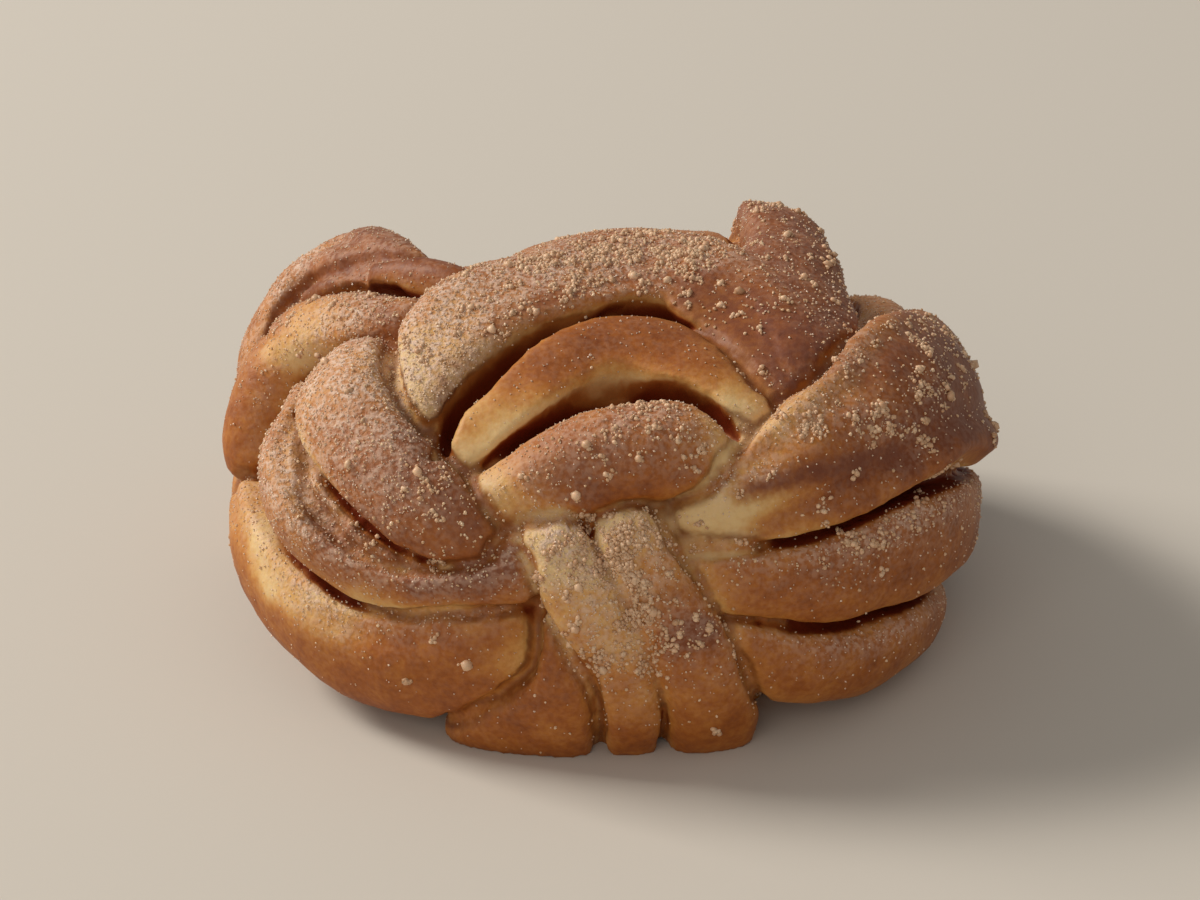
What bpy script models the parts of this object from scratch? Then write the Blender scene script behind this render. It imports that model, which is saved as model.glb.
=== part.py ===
"""Cinnamon babka roll: one knot of wound dough strands, fused to one solid with a flat base.

The strands' centre lines follow a dome. A place on it is given by its bearing, in degrees round
the roll from the front (0) by the right side (90) to the back (180), its climb above the dome's
waist, in degrees, and its lift off the dome, in millimetres.
"""
from dataclasses import dataclass

import bmesh
import bpy
import numpy as np
from mathutils import Matrix, Vector
from mathutils.bvhtree import BVHTree
from mathutils.kdtree import KDTree

MM = 0.001
ROLL_NAME = "babka_roll"

# Driving dimensions of the dome, in millimetres
HALF_WIDTH = 54.0
HALF_DEPTH = 46.0
RISE = 31.0
DROP = 45.0
WAIST_MIDDLE = (0.4, 1.4, 24.0)
SQUARENESS = 2.5

# Fineness of the faceted strands
CURVE_STEPS = 24
STATION_STEP = 3.0
FEWEST_STATIONS = 6
SECTION_SIDES = 18
SMALLEST_END = 0.25
EVEN_SIZE = 0.9
MOST_TRIANGLES = 9300

# The creases between strands, in millimetres: how far they reach on the upper strand, how far on the
# lower one as a share of their depth, how sharply they fall, and how far below the dome they stop
UPPER_REACH = 1.5
LOWER_REACH = 1.15
CREASE_SHARPNESS = 1.7
DEEPEST_LIFT = -9.0
STOPPING_DEPTH = 3.0
GROOVE_STATIONS = 60
CREASE_STEP = 1.2
CREASE_SIDES = 48


@dataclass
class Strand:
    """path holds (bearing, climb, lift); the other rows are spread evenly from end to end.

    A strand lies over its neighbours of a lower level, and gap is how far it dips beside the ones
    that lie over it.
    """
    path: list
    half_width: tuple
    half_thickness: tuple
    roll: tuple = (0,)
    corner: float = 2.4
    level: float = 2.0
    gap: tuple = (2,)


@dataclass
class Groove:
    """A narrow gap that runs along a path as a strand does, and is cut towards the middle."""
    path: list
    half_width: tuple
    depth: tuple


STRANDS = {
    "upper_arch": Strand(
        path=[(-30, 22, -3), (-43, 34, 0), (-52, 49, 1), (-50, 67, 1), (40, 86, 1),
              (80, 68, 1), (65, 54, 0.5), (53, 43, 0), (45, 33, -1.5), (40, 21, -6)],
        half_width=(3, 8, 10, 10.5, 10.5, 10.5, 10, 9, 8, 6),
        half_thickness=(3, 5.5, 6, 6, 6, 6, 6, 6, 5),
        roll=(0, 8, 8, 5, 5, 10, 15, 10, 0),
        corner=3.2,
        level=5,
        gap=(1.3,),
    ),
    "arch_peak": Strand(
        path=[(147, 4, -4), (145, 20, 0), (140, 34, 4), (133, 43.5, 7), (112, 46.5, 4.8),
              (86, 46, 1.5), (66, 41, 0.5), (53, 33, 0), (46, 24, -4)],
        half_width=(8, 7, 5, 3.5, 6.5, 8.5, 9.5, 9, 8),
        half_thickness=(6, 6, 4.5, 2.5, 5, 6.5, 7, 7, 5),
        corner=2.4,
        level=5,
        gap=(1.3,),
    ),
    "middle_arch": Strand(
        path=[(-35, 13, -4.5), (-33.5, 20, -3), (-29, 30, -2.2), (-20, 42.5, -2), (-3, 53, -2.2),
              (16, 52, -2.2), (28.5, 42, -2.2), (32, 30, -2.5), (36, 19, -5)],
        half_width=(5, 5.8, 6.2, 6.7, 7.5, 7.5, 7.3, 7.5, 7),
        half_thickness=(5, 6, 6.3, 6.5, 6.5, 6.5, 6.5, 6.5, 5),
        corner=2.6,
        level=4,
        gap=(0.6, 1.2, 1.6, 1.2, 0.9, 0.9, 0.9, 0.9, 0.9),
    ),
    "inner_roll": Strand(
        path=[(-30, 14, -3.5), (-24, 17.3, -1.2), (-13, 22.3, 0), (0, 27.2, 1), (11, 28.2, 1),
              (21, 26, 0), (30, 19.5, -3.5)],
        half_width=(4, 6, 7.5, 8, 8, 7.5, 6),
        half_thickness=(4, 6, 7.5, 8, 8, 7, 5.5),
        corner=2.4,
        level=3.5,
        gap=(0.6, 1, 1.2, 1.2, 1.2, 1.4, 1.4),
    ),
    "upper_right": Strand(
        path=[(9.5, 15, -1), (21, 18.5, 0.7), (34, 21, 1.5), (50, 23, 2), (64, 23.5, 3.2),
              (80, 18, 1), (98, 12, -0.5), (114, 4, -0.5), (130, -6, 0), (146, -19, -1), (158, -34, -3)],
        half_width=(4.5, 7.5, 10, 12.5, 13.5, 12, 9, 8, 8, 7.5, 6.5),
        half_thickness=(5, 6.8, 8, 8.5, 8.5, 8, 7, 7, 7, 7, 6),
        roll=(0, 10, 10, 5, 0, 0, 0, 0, 0, 0, 0),
        corner=2.3,
        level=5.5,
    ),
    "behind_right": Strand(
        path=[(84, 34, -7), (89, 24, -6), (99, 15.5, -5), (116, 11, -2.5), (134, 3, -1.5),
              (150, -7, -1), (166, -18, -4)],
        half_width=(5, 7, 8, 8, 8, 7.5, 6),
        half_thickness=(4, 6, 6.5, 7, 7, 7, 5),
        corner=2.4,
        level=3,
        gap=(1.4,),
    ),
    "right_tuck": Strand(
        path=[(102, 40, -11), (113, 32, -10.5), (124, 21, -9), (132, 10, -6), (138, 0, -4)],
        half_width=(5, 7, 7.5, 7.5, 6),
        half_thickness=(5, 6.5, 7, 7, 6),
        corner=2.4,
    ),
    "peak_tuck": Strand(
        path=[(146, 8, -5), (142, 22, -4), (135, 34, -2), (123, 39, -3), (106, 40, -5)],
        half_width=(5, 6.5, 6.5, 6, 5),
        half_thickness=(5, 6, 6.5, 6, 5),
        corner=2.2,
    ),
    "middle_right": Strand(
        path=[(7.5, 8.5, -0.8), (20, 6.5, 0.3), (35, 4, 0.5), (50, 3.5, 0), (66, 1, -1),
              (86, -7, -1.5), (106, -16, -1), (122, -24, -1.5), (136, -34, -3)],
        half_width=(5, 6.5, 8.3, 9.3, 9, 7.5, 7, 7, 6),
        half_thickness=(4.5, 6, 7, 7.5, 8, 7.5, 7, 7, 6),
        corner=2.5,
        level=2.5,
        gap=(0.6, 1.5, 2.4, 2.4, 2),
    ),
    "lower_right": Strand(
        path=[(10, -2, -0.8), (21, -6.5, 0), (32, -11.5, 0.5), (44, -14, 0), (57, -15, -1.5),
              (72, -20, -2.5), (90, -27, -3), (104, -36, -5)],
        half_width=(5, 6.5, 7.3, 7.3, 7, 6.5, 6, 5),
        half_thickness=(4.5, 6.5, 7, 7, 7, 6.5, 6, 5),
        corner=2.5,
        level=2.2,
        gap=(0.6, 1.4, 1.6, 1.4, 1.2),
    ),
    "front_band": Strand(
        path=[(-13.5, 20, 0.8), (-10, 14, 2.4), (-5, 6, 3.7), (-1, -2, 4.3), (2.5, -11, 4),
              (4, -20, 3.5), (4.4, -31, 2.3)],
        half_width=(4.5, 5.5, 5.5, 5.5, 5.2, 5, 5),
        half_thickness=(4, 5, 5, 5, 5, 5, 5),
        corner=2.5,
        level=3,
        gap=(1,),
    ),
    "front_band_side": Strand(
        path=[(0.5, 21.5, 0.8), (4, 14, 2.6), (8, 6.5, 3.3), (12.5, -3, 3.8), (16.5, -12, 3.7),
              (18.5, -20, 3), (19, -31, 1.5)],
        half_width=(4.5, 5, 5.5, 6, 7, 7.5, 7.5),
        half_thickness=(4, 5, 5, 5, 5.5, 5.5, 5.5),
        corner=2.5,
        level=3.1,
        gap=(1,),
    ),
    "front_tuck": Strand(
        path=[(8.5, 21, -1.5), (10, 14.5, 1.2), (12.6, 6.5, 1.6), (16.5, -1.5, 0.3)],
        half_width=(2.8, 2.8, 2.6, 2.2),
        half_thickness=(4, 4.5, 4.5, 4),
        level=2.8,
        gap=(0.7,),
    ),
    "front_foot": Strand(
        path=[(-8.5, 8, -0.5), (-7.5, 1, 1.5), (-6.7, -7, 2.7), (-8.7, -15.5, 3), (-14, -24, 2.3),
              (-17, -32, 1)],
        half_width=(3.5, 4.5, 5.7, 9, 13.5, 16),
        half_thickness=(3, 5, 6, 6, 6, 6),
        corner=2.5,
        level=1.2,
        gap=(2,),
    ),
    "lower_left": Strand(
        path=[(-11, -1, 0), (-22, -9, 1), (-38, -12.5, 0.8), (-54, -9.5, 0.8), (-68, -6, 0.6),
              (-84, -5, 0), (-102, -10, 0), (-120, -26, -2)],
        half_width=(7.5, 10.5, 9.5, 9, 8.5, 8, 7.5, 6),
        half_thickness=(5, 7, 7, 7, 7, 7, 7, 6),
        corner=2.5,
        level=1.8,
        gap=(1.2, 1.6, 1.8, 1.5),
    ),
    "middle_left": Strand(
        path=[(-5, 9, -0.5), (-12.5, 9.3, 0.7), (-21, 7, 0.8), (-32, 4, 1), (-44, 5.5, 1),
              (-55, 9.5, 1.5), (-62, 13.5, 1), (-68, 17.5, -2), (-78, 19, -4)],
        half_width=(4.5, 6, 6.3, 6.3, 6.5, 6.5, 6.5, 6, 6),
        half_thickness=(4, 5.5, 6, 6, 6.5, 7, 6, 6, 6),
        corner=2.5,
        level=2.6,
        gap=(1, 1.4, 1.6, 2),
    ),
    "middle_left_rim": Strand(
        path=[(-19, 8.5, -1.5), (-29.5, 8.5, 1.5), (-39, 9, 2.5), (-45, 11, 2.5), (-51, 13.5, 2.5),
              (-57, 17.5, 1.5), (-63, 22, -1.5)],
        half_width=(2, 2.6, 2.8, 2.8, 2.8, 2.6, 2),
        half_thickness=(3, 4, 4.5, 4.5, 4.5, 4, 3),
        corner=2.3,
        level=2.8,
        gap=(1.2,),
    ),
    "upper_left": Strand(
        path=[(-15, 11.5, -2), (-25, 13.2, 0.3), (-33, 15.8, 1), (-42, 19.8, 1.5), (-54, 25, 2),
              (-62, 30, 0), (-69, 35, -4)],
        half_width=(4, 7.2, 8.2, 8.4, 8.8, 8, 6),
        half_thickness=(4, 6.8, 7.5, 8, 8, 7, 5),
        corner=2.3,
        level=4.2,
        gap=(2, 2, 2.6),
    ),
    "left_arc": Strand(
        path=[(-60, 47, -2), (-74, 39, 0), (-86, 30, 1.5), (-91, 22, 1.5), (-89, 13, 2),
              (-85, 5, 1.5), (-80, -4, -1)],
        half_width=(5, 5.5, 6, 6.5, 6.5, 6, 4.5),
        half_thickness=(4, 5, 6, 6, 6, 6, 4.5),
        corner=2.4,
        level=4.6,
    ),
    "top_ribbon": Strand(
        path=[(-72, 60, -0.5), (-88, 51, 2.2), (-98, 42, 3), (-106, 31, 3), (-109, 22, 3),
              (-105, 15, 2), (-100, 8, -1)],
        half_width=(3, 3.6, 3.8, 3.8, 3.8, 3.4, 2.5),
        half_thickness=(3.5, 4.5, 4.5, 4.5, 4, 4, 3),
        corner=2.2,
        level=4.8,
        gap=(1.4,),
    ),
    "left_shoulder": Strand(
        path=[(-129, -3, -4), (-125, 9, 0), (-122.5, 19, 3), (-121, 29, 7), (-116.5, 25, 7),
              (-112, 17, 5), (-108, 7, 3), (-107, -5, 2), (-110, -19, 1), (-116, -35, -2)],
        half_width=(8, 8, 6.5, 3, 6.5, 9, 9.5, 9, 8.5, 8),
        half_thickness=(6, 6, 5, 3, 5.5, 7, 7, 7, 7, 6),
        corner=1.8,
        level=4.3,
        gap=(2.2,),
    ),
    "shoulder_fold": Strand(
        path=[(-124, 19, 3), (-120, 30, 6), (-111, 38, 5), (-100, 44, 3), (-88, 50, -1)],
        half_width=(6, 4.5, 4.5, 4, 3),
        half_thickness=(5, 4, 4, 4, 3),
        corner=2,
        level=4.3,
        gap=(1.4,),
    ),
    "shoulder_front": Strand(
        path=[(-115, 18, 4), (-114, 25, 4.5), (-108, 34, 3.5), (-99, 42, 1), (-90, 48, -2)],
        half_width=(5, 5.5, 5.5, 5, 3),
        half_thickness=(5, 5, 5, 4.5, 3),
        corner=2.2,
        level=4.3,
        gap=(1.4,),
    ),
    "left_tuck": Strand(
        path=[(-104, 40, -6), (-104, 28, -4), (-102, 14, -3), (-98, 2, -3), (-94, -12, -4)],
        half_width=(5, 7, 7, 6, 5),
        half_thickness=(5, 6.5, 6.5, 6, 5),
        corner=2.3,
    ),
    "shoulder_tuck": Strand(
        path=[(-118, 22, 0), (-117, 12, 0.5), (-116, 2, 0), (-118, -10, -1)],
        half_width=(5, 7, 7, 6),
        half_thickness=(5, 6, 6, 5),
        corner=2.3,
    ),
    "back_arch": Strand(
        path=[(-86, 62, -8), (-112, 58, -7.5), (-146, 57, -6), (178, 56, -5), (154, 50, -5),
              (136, 40, -5), (124, 28, -6)],
        half_width=(6, 7.5, 8.5, 8.5, 8.5, 8, 5),
        half_thickness=(5, 6.5, 7, 7, 7, 6.5, 5),
        corner=2.6,
    ),
    "back_inner": Strand(
        path=[(-108, 34, -10.5), (-126, 33, -10), (-148, 34, -10), (-170, 39, -9.5),
              (168, 44, -10)],
        half_width=(4, 5.5, 6, 6, 4.5),
        half_thickness=(4, 6, 6.5, 6.5, 5),
        corner=2.5,
    ),
    "back_upper": Strand(
        path=[(-112, 18, -10), (-130, 15, -9), (-150, 14, -7.5), (-174, 22, -6.5), (168, 31, -6.5),
              (156, 38, -8)],
        half_width=(5, 7.5, 8, 8, 7.5, 5),
        half_thickness=(4, 6.5, 7.5, 7.5, 7, 5),
        corner=2.5,
    ),
    "back_shelf": Strand(
        path=[(-120, 4, -6), (-136, 1, -3), (-154, 0, -2), (-174, 8, -1.5), (167, 19, -2),
              (155, 30, -5)],
        half_width=(5, 8, 8.5, 8.5, 8, 6),
        half_thickness=(4, 6.5, 7.5, 7.5, 7, 5),
        corner=2.5,
    ),
    "back_middle": Strand(
        path=[(-108, -4, -4), (-126, -9, -1), (-146, -12, 0), (-166, -8, 0), (176, 0, -0.5),
              (163, 11, -2), (152, 22, -6)],
        half_width=(5, 8, 8.5, 8.5, 8.5, 7.5, 5),
        half_thickness=(5, 7, 7.5, 7.5, 7.5, 7, 5),
        corner=2.5,
    ),
    "back_lower": Strand(
        path=[(-110, -18, -4), (-128, -25, -0.5), (-150, -28, 0), (-170, -24, 0), (172, -16, -0.5),
              (160, -5, -2), (150, 5, -6)],
        half_width=(5, 8, 8.5, 8.5, 8.5, 8, 5),
        half_thickness=(5, 7, 7.5, 7.5, 7, 7, 5),
        corner=2.5,
    ),
    "back_band": Strand(
        path=[(-168, 22, -7), (-162, 15, -1), (-156, 5, 2), (-152, -7, 3), (-151, -19, 2.5),
              (-153, -33, 0)],
        half_width=(4, 5.5, 6.5, 7, 8, 8.5),
        half_thickness=(4, 5, 5.5, 5.5, 5.5, 5),
        corner=2.5,
    ),
    "back_foot": Strand(
        path=[(178, -12, -3), (170, -20, -0.5), (160, -26, 0), (150, -33, -2)],
        half_width=(5, 7, 7.5, 7),
        half_thickness=(5, 6.5, 7, 6),
        corner=2.5,
    ),
}

# Strands that run into another with no crease between them
JOINED = {
    "arch_peak": "upper_arch",
    "peak_tuck": "upper_arch",
    "shoulder_fold": "left_shoulder",
    "shoulder_front": "left_shoulder",
    "shoulder_tuck": "left_shoulder",
}

GROOVES = {
    "below_upper_arch": Groove(
        path=[(-33.5, 23, 0), (-34.8, 31, 0), (-34, 39, 0), (-30, 48.5, 0), (-22.5, 56.5, 0),
              (-9, 62.5, 0), (9, 65.5, 0)],
        half_width=(1.3, 1.8, 1.9, 1.8, 1.5, 1.1, 0.7),
        depth=(4, 9, 9, 8, 6, 4, 1.5),
    ),
    "below_middle_arch": Groove(
        path=[(-24.5, 24, 0), (-16.5, 31, 0), (-5.5, 37.5, 0), (5, 40.3, 0), (12, 40.8, 0),
              (19.3, 38.2, 0), (24, 33.5, 0), (26.5, 28.5, 0)],
        half_width=(0.9, 1.3, 1.5, 1.7, 1.8, 1.9, 1.9, 1.6),
        depth=(3, 6, 8, 9, 9, 9, 8, 6),
    ),
    "below_upper_right": Groove(
        path=[(12.2, 14.8, 0), (16.3, 14, 0), (23, 12.6, 0), (33, 11, 0), (42, 11.5, 0),
              (53, 11.5, 0), (64, 9.4, 0), (80, 3.5, 0)],
        half_width=(0.5, 0.5, 0.6, 0.8, 1.1, 1.1, 0.9, 0.7),
        depth=(1, 1.5, 1.5, 3, 5, 5, 4, 2),
    ),
    "below_middle_right": Groove(
        path=[(17, 1.5, 0), (25.5, -1.7, 0), (34.5, -4, 0), (46.5, -6, 0), (57.5, -7, 0),
              (66.5, -7.5, 0)],
        half_width=(0.4, 0.7, 0.9, 1, 0.9, 0.6),
        depth=(1, 2, 3, 4, 3, 1),
    ),
    "beside_front_foot": Groove(
        path=[(-4.8, -0.4, 0), (-2.6, -7.3, 0), (-1.2, -15, 0), (-0.6, -27, 0)],
        half_width=(0.5, 0.6, 0.6, 0.6),
        depth=(1.5, 2, 2, 1.5),
    ),
    "below_upper_left": Groove(
        path=[(-52.5, 16.2, 0), (-46, 13.6, 0), (-39.5, 11.2, 0), (-32.6, 8.8, 0), (-25, 8, 0)],
        half_width=(0.7, 1.1, 1.1, 0.9, 0.5),
        depth=(2, 4, 4, 3, 1),
    ),
}

CORE_SHRINK = 5.0
CORE_SIDES = 32

# Sugared strands: how many lumps, from and to which share of the length, and of the way round
SUGARED = {
    "upper_arch": (20, 0.22, 0.8, 0.14, 0.34),
    "arch_peak": (8, 0.12, 0.75, 0.14, 0.4),
    "upper_right": (12, 0.18, 0.5, 0.12, 0.42),
    "inner_roll": (5, 0.35, 0.85, 0.16, 0.3),
    "front_band": (5, 0.2, 0.55, 0.1, 0.35),
    "front_band_side": (4, 0.15, 0.5, 0.15, 0.4),
    "upper_left": (4, 0.3, 0.85, 0.15, 0.35),
    "left_arc": (3, 0.2, 0.5, 0.15, 0.35),
}
LUMP_RADIUS = (0.7, 1.1)
LUMP_ROUGHNESS = (0.8, 1.15)
LUMP_JITTER = 0.3
LUMP_SEED = 5
GOLDEN_SHARE = 0.618

CRUST_COLOUR = (0.42, 0.2, 0.09, 1.0)
CRUST_ROUGHNESS = 0.55
SHARP_ANGLE = 50
FLOOR_CUTTER_SIDE = 0.2


def toward(bearing, climb):
    """The unit direction of a bearing and climb, from the middle of the dome's waist."""
    turn, tilt = np.radians(bearing), np.radians(climb)
    return np.array([np.sin(turn) * np.cos(tilt), -np.cos(turn) * np.cos(tilt), np.sin(tilt)])


def dome_axes(direction):
    return np.array([HALF_WIDTH, HALF_DEPTH, RISE if direction[2] > 0 else DROP])


def dome_reach(direction):
    """How far the dome is from the middle of its waist in this direction."""
    return np.sum(np.abs(direction / dome_axes(direction)) ** SQUARENESS) ** (-1 / SQUARENESS)


def reach_share(offsets):
    """For offsets from the middle of the waist, the share of each at which it meets the dome."""
    axes = np.where(offsets[:, 2:] > 0, (HALF_WIDTH, HALF_DEPTH, RISE), (HALF_WIDTH, HALF_DEPTH, DROP))
    return np.sum(np.abs(offsets / axes) ** SQUARENESS, axis=1) ** (-1 / SQUARENESS)


def dome_point(bearing, climb, lift):
    direction = toward(bearing, climb)
    return WAIST_MIDDLE + direction * (dome_reach(direction) + lift)


def dome_normal(point):
    offset = point - WAIST_MIDDLE
    axes = dome_axes(offset)
    slope = np.sign(offset) * np.abs(offset / axes) ** (SQUARENESS - 1) / axes
    return slope / np.linalg.norm(slope)


def smooth_curve(knots, count):
    """count points, evenly spaced along a smooth curve through the knots."""
    knots = np.asarray(knots, float)
    ends = np.vstack([2 * knots[0] - knots[1], knots, 2 * knots[-1] - knots[-2]])
    steps = np.linspace(0, 1, CURVE_STEPS, endpoint=False)[:, None]
    pieces = []
    for before, start, end, after in zip(ends, ends[1:], ends[2:], ends[3:]):
        pieces.append(0.5 * (
            2 * start + (end - before) * steps
            + (2 * before - 5 * start + 4 * end - after) * steps ** 2
            + (3 * start - before - 3 * end + after) * steps ** 3))
    fine = np.vstack(pieces + [knots[-1:]])
    lengths = np.concatenate([[0], np.cumsum(np.linalg.norm(np.diff(fine, axis=0), axis=1))])
    wanted = np.linspace(0, lengths[-1], count)
    return np.stack([np.interp(wanted, lengths, column) for column in fine.T], axis=1), lengths[-1]


def spread(values, count):
    """The values, spread evenly and smoothly over count stations."""
    if len(values) == 1:
        return np.full(count, float(values[0]))
    places = np.linspace(0, len(values) - 1, count)
    near = np.minimum(places.astype(int), len(values) - 2)
    share = places - near
    share = share * share * (3 - 2 * share)
    values = np.asarray(values, float)
    return values[near] * (1 - share) + values[near + 1] * share


def section(strand, count):
    """Offsets across and outwards of a rounded-square section of unit half width and thickness."""
    turn = np.linspace(0, 2 * np.pi, count, endpoint=False)
    power = 2 / strand.corner
    across = np.sign(np.cos(turn)) * np.abs(np.cos(turn)) ** power
    outwards = np.sign(np.sin(turn)) * np.abs(np.sin(turn)) ** power
    return across, outwards


def strand_rings(strand, step, sides):
    """The strand's sections as an array of stations, sides and coordinates, in millimetres."""
    knots = [dome_point(*place) for place in strand.path]
    _, length = smooth_curve(knots, 2)
    count = max(FEWEST_STATIONS, int(round(length / step)) + 1)
    centres, _ = smooth_curve(knots, count)
    tangents = np.gradient(centres, axis=0)
    tangents /= np.linalg.norm(tangents, axis=1)[:, None]
    widths = spread(strand.half_width, count)
    depths = spread(strand.half_thickness, count)
    rolls = np.radians(spread(strand.roll, count))
    places = np.linspace(0, length, count)
    from_end = np.minimum(places, length - places)
    shrink = np.sqrt(1 - np.clip(1 - from_end / depths, 0, 1) ** 2)
    shrink = np.maximum(shrink, SMALLEST_END)
    across, outwards = section(strand, sides)
    rings = []
    for i in range(count):
        normal = dome_normal(centres[i])
        normal -= tangents[i] * (normal @ tangents[i])
        normal /= np.linalg.norm(normal)
        side = np.cross(tangents[i], normal)
        out = normal * np.cos(rolls[i]) + side * np.sin(rolls[i])
        wide = side * np.cos(rolls[i]) - normal * np.sin(rolls[i])
        rings.append(centres[i] + shrink[i] * (
            np.outer(across * widths[i], wide) + np.outer(outwards * depths[i], out)))
    return np.array(rings)


def strand_object(name, strand, collection):
    """A closed loft through the strand's sections."""
    rings = strand_rings(strand, STATION_STEP, SECTION_SIDES) * MM
    loft = bmesh.new()
    rows = [[loft.verts.new(point) for point in ring] for ring in rings]
    for row, following in zip(rows, rows[1:]):
        for i in range(SECTION_SIDES):
            j = (i + 1) % SECTION_SIDES
            loft.faces.new((row[i], row[j], following[j], following[i]))
    loft.faces.new(rows[0])
    loft.faces.new(rows[-1])
    bmesh.ops.recalc_face_normals(loft, faces=loft.faces)
    mesh = bpy.data.meshes.new(name)
    loft.to_mesh(mesh)
    loft.free()
    made = bpy.data.objects.new(name, mesh)
    collection.objects.link(made)
    return made


def core_object(collection):
    """The dough inside, which closes the hollows between the strands."""
    ball = bmesh.new()
    bmesh.ops.create_uvsphere(ball, u_segments=CORE_SIDES, v_segments=CORE_SIDES // 2, radius=1)
    for vertex in ball.verts:
        direction = np.array(vertex.co) / vertex.co.length
        point = WAIST_MIDDLE + direction * (dome_reach(direction) - CORE_SHRINK)
        vertex.co = point * MM
    mesh = bpy.data.meshes.new(ROLL_NAME)
    ball.to_mesh(mesh)
    ball.free()
    made = bpy.data.objects.new(ROLL_NAME, mesh)
    collection.objects.link(made)
    return made


def lump_places(roll):
    """Where the largest sugar lumps lie on the roll, and their sizes, in millimetres."""
    skin = BVHTree.FromPolygons(
        (points_of(roll.data)).tolist(), [tuple(face.vertices) for face in roll.data.polygons])
    chance = np.random.default_rng(LUMP_SEED)
    for name, (count, first, last, left, right) in SUGARED.items():
        rings = strand_rings(STRANDS[name], STATION_STEP, SECTION_SIDES)
        for i in range(count):
            step = i + 0.5 + chance.uniform(-LUMP_JITTER, LUMP_JITTER)
            turn = (i * GOLDEN_SHARE + chance.uniform(0, LUMP_JITTER)) % 1
            along = first + (last - first) * step / count
            across = left + (right - left) * turn
            station = int(along * (len(rings) - 1))
            side = int(across * SECTION_SIDES) % SECTION_SIDES
            yield skin.find_nearest(rings[station][side])[0], chance.uniform(*LUMP_RADIUS)


def lump_object(name, place, size, collection):
    """A rough grain of sugar, half sunk in the crust."""
    chance = np.random.default_rng(len(collection.objects))
    grain = bmesh.new()
    bmesh.ops.create_icosphere(grain, subdivisions=1, radius=size * MM)
    for vertex in grain.verts:
        vertex.co *= chance.uniform(*LUMP_ROUGHNESS)
        vertex.co += Vector(place * MM)
    mesh = bpy.data.meshes.new(name)
    grain.to_mesh(mesh)
    grain.free()
    collection.objects.link(bpy.data.objects.new(name, mesh))


def crust_material():
    material = bpy.data.materials.new("baked_crust")
    material.use_nodes = True
    shader = material.node_tree.nodes["Principled BSDF"]
    shader.inputs["Base Color"].default_value = CRUST_COLOUR
    shader.inputs["Roughness"].default_value = CRUST_ROUGHNESS
    shader.inputs["Metallic"].default_value = 0.0
    return material


def new_collection(name):
    made = bpy.data.collections.new(name)
    bpy.context.scene.collection.children.link(made)
    return made


def apply_modifiers(target):
    """The target takes its evaluated mesh, with no modifier left."""
    graph = bpy.context.evaluated_depsgraph_get()
    mesh = bpy.data.meshes.new_from_object(target.evaluated_get(graph))
    target.modifiers.clear()
    target.data = mesh


def fuse(target, collection):
    """Joins the collection's objects to the target as one solid, and removes them."""
    union = target.modifiers.new("fuse", "BOOLEAN")
    union.operation = "UNION"
    union.operand_type = "COLLECTION"
    union.collection = collection
    union.solver = "MANIFOLD"
    apply_modifiers(target)
    for fused in list(collection.objects):
        bpy.data.objects.remove(fused)
    bpy.data.collections.remove(collection)


def even_out(target):
    even = target.modifiers.new("even_faces", "REMESH")
    even.mode = "VOXEL"
    even.voxel_size = EVEN_SIZE * MM
    apply_modifiers(target)


def thin_out(target, most):
    """Merges the flattest faces until this many triangles are left."""
    triangles = sum(len(face.vertices) - 2 for face in target.data.polygons)
    decimate = target.modifiers.new("merge_flattest", "DECIMATE")
    decimate.ratio = most / triangles
    apply_modifiers(target)


def points_of(mesh):
    """The mesh's points, in millimetres."""
    points = np.empty(len(mesh.vertices) * 3, np.float32)
    mesh.vertices.foreach_get("co", points)
    return points.reshape(-1, 3).astype(float) / MM


def normals_of(mesh):
    normals = np.empty(len(mesh.vertices) * 3, np.float32)
    mesh.vertex_normals.foreach_get("vector", normals)
    return normals.reshape(-1, 3).astype(float)


def edges_of(mesh):
    ends = np.empty(len(mesh.edges) * 2, np.int32)
    mesh.edges.foreach_get("vertices", ends)
    return ends.reshape(-1, 2)


def move_points(mesh, points):
    mesh.vertices.foreach_set("co", (points * MM).astype(np.float32).ravel())
    mesh.update()


def averaged(values, edges, rounds):
    """Each value moved half way to its neighbours' mean, several times."""
    flat = np.array(values, float).reshape(len(values), -1)
    counts = np.maximum(np.bincount(edges.ravel(), minlength=len(flat)), 1)
    for _ in range(rounds):
        for column in range(flat.shape[1]):
            now = flat[:, column]
            total = np.bincount(edges[:, 0], now[edges[:, 1]], len(flat))
            total += np.bincount(edges[:, 1], now[edges[:, 0]], len(flat))
            flat[:, column] = (now + total / counts) / 2
    return flat.reshape(np.shape(values))


def tree_of(points):
    tree = KDTree(len(points))
    for i, point in enumerate(points.tolist()):
        tree.insert(point, i)
    tree.balance()
    return tree


def strand_values():
    """The points of all the strands, and the strand and gap at each of them."""
    names = list(STRANDS)
    points, owners, gaps = [], [], []
    for name, strand in STRANDS.items():
        rings = strand_rings(strand, CREASE_STEP, CREASE_SIDES)
        points.append(rings.reshape(-1, 3))
        owners.append(np.full(rings[..., 0].size, names.index(JOINED.get(name, name))))
        gaps.append(np.repeat(spread(strand.gap, len(rings)), CREASE_SIDES))
    return np.vstack(points), np.concatenate(owners), np.concatenate(gaps)


def found_in(tree, points):
    """The nearest entry of the tree to each point, and its distance."""
    found = [tree.find(point)[1:] for point in points.tolist()]
    return np.array([index for index, _ in found]), np.array([distance for _, distance in found])


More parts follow.
